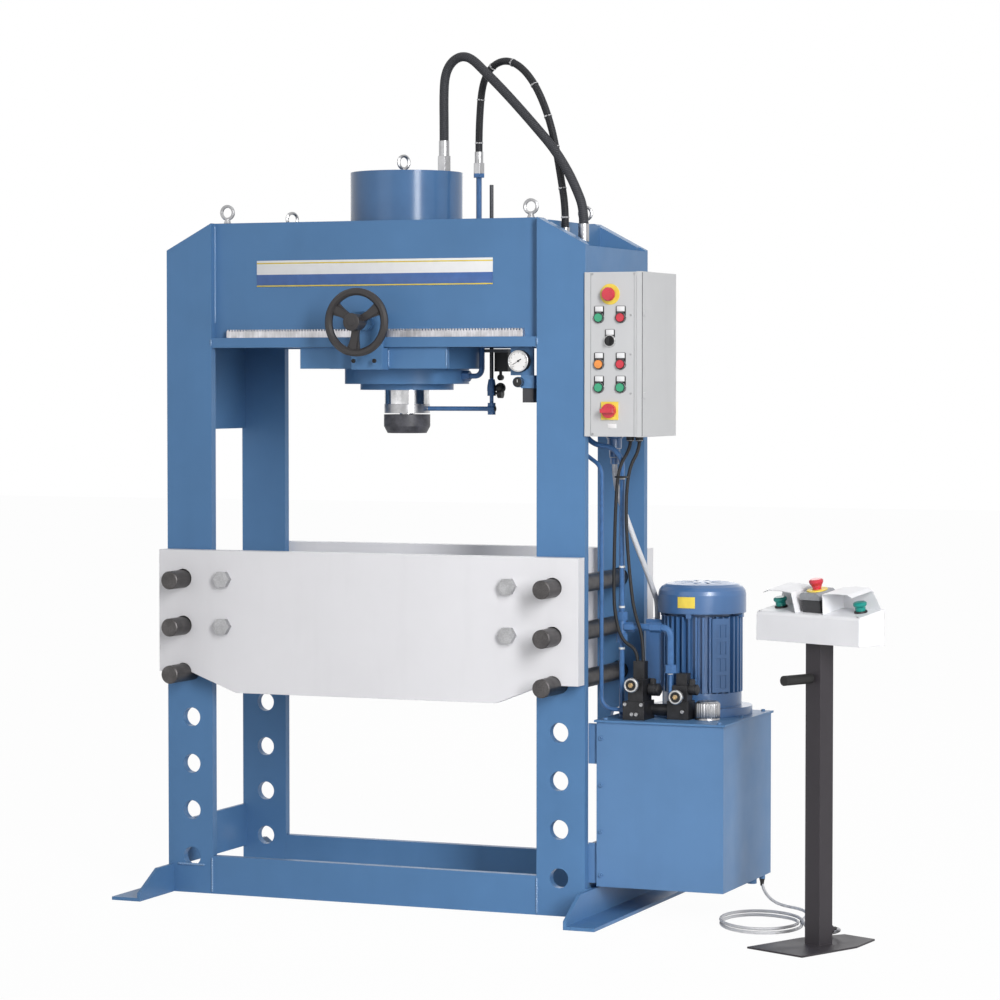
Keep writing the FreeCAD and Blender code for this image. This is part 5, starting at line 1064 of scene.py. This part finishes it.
adjusterPlaces = [(0.8203, 0.006, 0.686), (0.9363, 0.066, 0.65)]
addTrim({
    "adjusterRings": ("valve_black", "ringSteel", turnedShape, adjusterPlaces,
        {"sides": 56, "kind": "looped",
         "profile": [(0.0147, -0.01), (0.0214, -0.01), (0.0214, 0.0004), (0.01932, 0.003), (0.01596, 0.003),
                     (0.0147, 0.001)]}),
    "adjusterWells": ("valve_black", "screwBlack", turnedShape, adjusterPlaces,
        {"sides": 48, "profile": [(0.0147, -0.002), (0.0147, 0.0004)]}),
    "adjusterNuts": ("valve_black", "brass", turnedShape, adjusterPlaces,
        {"sides": 6,
         "profile": [(0.0078, 0.0), (0.0078, 0.0042), (0.0066, 0.0052), (0.0034, 0.0052), (0.003, 0.002)]}),
    "valveScrews": ("valve_black", "machinedSteel", screwShape, [(0.813, 0.036, 0.5985),
        (0.827, 0.036, 0.5985), (0.925, 0.102, 0.644), (0.948, 0.096, 0.605), (0.792, 0.036, 0.627),
        (0.842, 0.036, 0.627)],
        {"radius": 0.0058}),
})

fillerCap = {
    "centre": (1.012, 0.136, 0.581),
    "neck": {"sides": 64, "profile": [(0.036, 0), (0.036, 0.004), (0.034, 0.006), (0.0325, 0.007)]},
    "skirt": {"sides": 208, "flutes": 26, "depth": 0.055,
              "profile": [(0.0335, 0.006), (0.0362, 0.0075), (0.037, 0.01), (0.037, 0.046), (0.0362, 0.049),
                          (0.0335, 0.051)]},
    "top": {"sides": 64, "profile": [(0.0328, 0.0508), (0.031, 0.0535), (0.027, 0.0555), (0.0185, 0.056)]},
}
capShapes = [turnedShape(fillerCap["centre"], axis=upward, **fillerCap[part])
             for part in ("neck", "skirt", "top")]
addPiece("ribbedFillerCap", capShapes, "capChrome", "chrome_plate", "filler_cap", sharp=50)

pipeBands = {
    "riser": [(0.756, 0.106, z) for z in (1.2853, 1.0252, 0.907, 0.7849)],
    "riserSize": {"reachA": 0.0077, "reachB": 0.0077, "width": 0.006},
    "branch": (0.907, 0.106, 0.7161),
    "branchSize": {"reachA": 0.0062, "reachB": 0.0062, "width": 0.007},
}
bands = [bandShape(place, upward, **pipeBands["riserSize"]) for place in pipeBands["riser"]]
bands.append(bandShape(pipeBands["branch"], upward, **pipeBands["branchSize"]))
addPiece("pipeBands", bands, "bandWhite", "machine_paint")

tankScrews = {
    "front": [(0.7275, 0.006, z) for z in (0.528, 0.391, 0.254, 0.126)],
    "lid": [(x, y, 0.581) for x in (0.735, 1.085) for y in (0.025, 0.235, 0.442)],
    "radius": 0.006,
}
screws = [screwShape(place, tankScrews["radius"]) for place in tankScrews["front"]]
screws += [screwShape(place, tankScrews["radius"], upward) for place in tankScrews["lid"]]
addPiece("tankScrews", screws, "tankBluePaint", "machine_paint")

fanPlate = {
    "axis": (0.934, 0.316),
    "radius": 0.1312,
    "thick": 0.0012,
    "turns": (-104.5, -80.75),
    "points": 16,
    "heights": (0.902, 0.935),
}


def makeFanPlate():
    # a sheet bent round the fan cover: x, y = axis + r * (cos a, sin a) from z low to high
    a = np.radians(np.linspace(*fanPlate["turns"], fanPlate["points"]))
    low, high = fanPlate["heights"]
    rows = []
    for grow, z in ((0, low), (fanPlate["thick"], low), (fanPlate["thick"], high), (0, high)):
        r = fanPlate["radius"] + grow
        rows.append(np.stack([fanPlate["axis"][0] + r * np.cos(a), fanPlate["axis"][1] + r * np.sin(a),
                              np.full(len(a), z)], axis=1))
    grid = np.transpose(np.array(rows), (1, 0, 2))[:, ::-1]
    addPiece("fanPlate", [(grid, "capped")], "yellowPlate", "machine_paint")


makeFanPlate()
print("power unit dressed")


# two-hand stand

standTop = {
    "height": 0.936,
    "slope": math.radians(10.685),
}


def standAxes():
    # the box's top: across, along the slope and square to it
    c, s = math.cos(stand["turn"]), math.sin(stand["turn"])
    cs, ss = math.cos(standTop["slope"]), math.sin(standTop["slope"])
    return np.array([(c, s, 0), (-s * cs, c * cs, ss), (s * ss, -c * ss, cs)])


def onStandTop(across, along):
    return np.array([*stand["place"], standTop["height"]]) + np.array([across, along, 0]) @ standAxes()


squareToTop = standAxes()[2]
behindPost = np.array([-math.sin(stand["turn"]), math.cos(stand["turn"]), 0])
addTrim({
    "palmCollars": ("plastic_black", "blackMoulding", turnedShape,
        [onStandTop(x, 0.004) for x in (-0.147, 0.147)],
        {"axis": squareToTop, "sides": 48, "kind": "looped",
         "profile": [(0.0152, 0), (0.0185, 0), (0.0185, 0.003), (0.0172, 0.005), (0.0152, 0.005)]}),
    "standStopRing": ("plastic_grey", "yellowPlate", turnedShape, [onStandTop(0, 0)],
        {"axis": squareToTop, "sides": 56, "kind": "looped",
         "profile": [(0.0126, 0.0572), (0.0294, 0.0572), (0.0294, 0.0598), (0.0288, 0.0604),
                     (0.0126, 0.0604)]}),
    "standBoxScrews": ("box_white", "machinedSteel", screwShape,
        [onStandTop(x, y) for x in (-0.18, 0.18) for y in (-0.048, 0.048)],
        {"axis": squareToTop, "radius": 0.003}),
})

cableReliefs = {
    "places": [((1.088, 0.427, 0.0795), -upward), (besideStand(0, 0.049, 0.04), behindPost)],
    "profile": [(0.0085, 0.0), (0.0085, 0.004), (0.0074, 0.006), (0.006, 0.014), (0.0052, 0.022),
                (0.0047, 0.0235)],
}
reliefs = [turnedShape(place, cableReliefs["profile"], axis, 32) for place, axis in cableReliefs["places"]]
addPiece("cableReliefs", reliefs, "blackMoulding", "plastic_black")
print("stand dressed")


# room: pale floor, white surroundings and soft lamps

room = {
    "floorHalf": 30,
    "floorColour": (0.9, 0.9, 0.9, 1),
    "floorRoughness": 0.9,
    "whiteShare": 0.97,
    "skyLight": 0.38,
    "white": (1, 1, 1, 1),
}
lamps = {
    "keyLamp": {"place": (4.6, -4.3, 3.0), "power": 54, "width": 1.3, "height": 4.2, "spread": 62},
    "fillLamp": {"place": (-2.6, -6.5, 3.2), "power": 14, "width": 4.0, "height": 4.0, "spread": 120},
    "backLamp": {"place": (-1.6, 7.0, 3.4), "power": 20, "width": 4.0, "height": 4.0, "spread": 120},
}
lampAim = (0.9, 0.1, 1.1)


def seenDirectly(tree):
    # 1 for rays of the camera, of mirrors and of glass, so that they all see white
    path = addNode(tree, "ShaderNodeLightPath")
    first = compute(tree, "MAXIMUM", path.outputs["Is Camera Ray"], path.outputs["Is Glossy Ray"])
    return compute(tree, "MAXIMUM", first, path.outputs["Is Transmission Ray"])


def makeSky():
    world = bpy.data.worlds.new("paleRoom")
    bpy.context.scene.world = world
    world.use_nodes = True
    tree = world.node_tree
    strength = spread(tree, seenDirectly(tree), room["skyLight"], 1.0, 0.0, 1.0)
    plugAll(tree, tree.nodes["Background"], {"Color": room["white"], "Strength": strength})


def makeFloor():
    half = room["floorHalf"]
    corners = np.array([[(x, y, 0.0) for x in (-half, half)] for y in (-half, half)], float)
    floor = surfacePiece("studioFloor", [(corners, "open")])
    material, tree, shader = startFinish("paleFloor")
    plugAll(tree, shader, {"Base Color": room["floorColour"], "Roughness": room["floorRoughness"]})
    glow = addNode(tree, "ShaderNodeEmission", {"Color": room["white"], "Strength": 1.0})
    share = compute(tree, "MULTIPLY", seenDirectly(tree), room["whiteShare"])
    mix = addNode(tree, "ShaderNodeMixShader", {0: share, 1: shader.outputs[0], 2: glow.outputs[0]})
    plug(tree, mix.outputs[0], tree.nodes["Material Output"].inputs["Surface"])
    floor.data.materials.append(material)


def makeLamp(name, settings):
    lamp = bpy.data.lights.new(name, "AREA")
    lamp.energy = settings["power"]
    lamp.shape = "RECTANGLE"
    lamp.size = settings["width"]
    lamp.size_y = settings["height"]
    lamp.spread = math.radians(settings["spread"])
    holder = bpy.data.objects.new(name, lamp)
    holder.location = settings["place"]
    aim = Vector(lampAim) - Vector(settings["place"])
    holder.rotation_euler = aim.to_track_quat("-Z", "Y").to_euler()
    bpy.context.collection.objects.link(holder)


makeSky()
makeFloor()
for name, settings in lamps.items():
    makeLamp(name, settings)
bpy.context.scene.view_settings.view_transform = "Standard"
print("room and lamps ready")
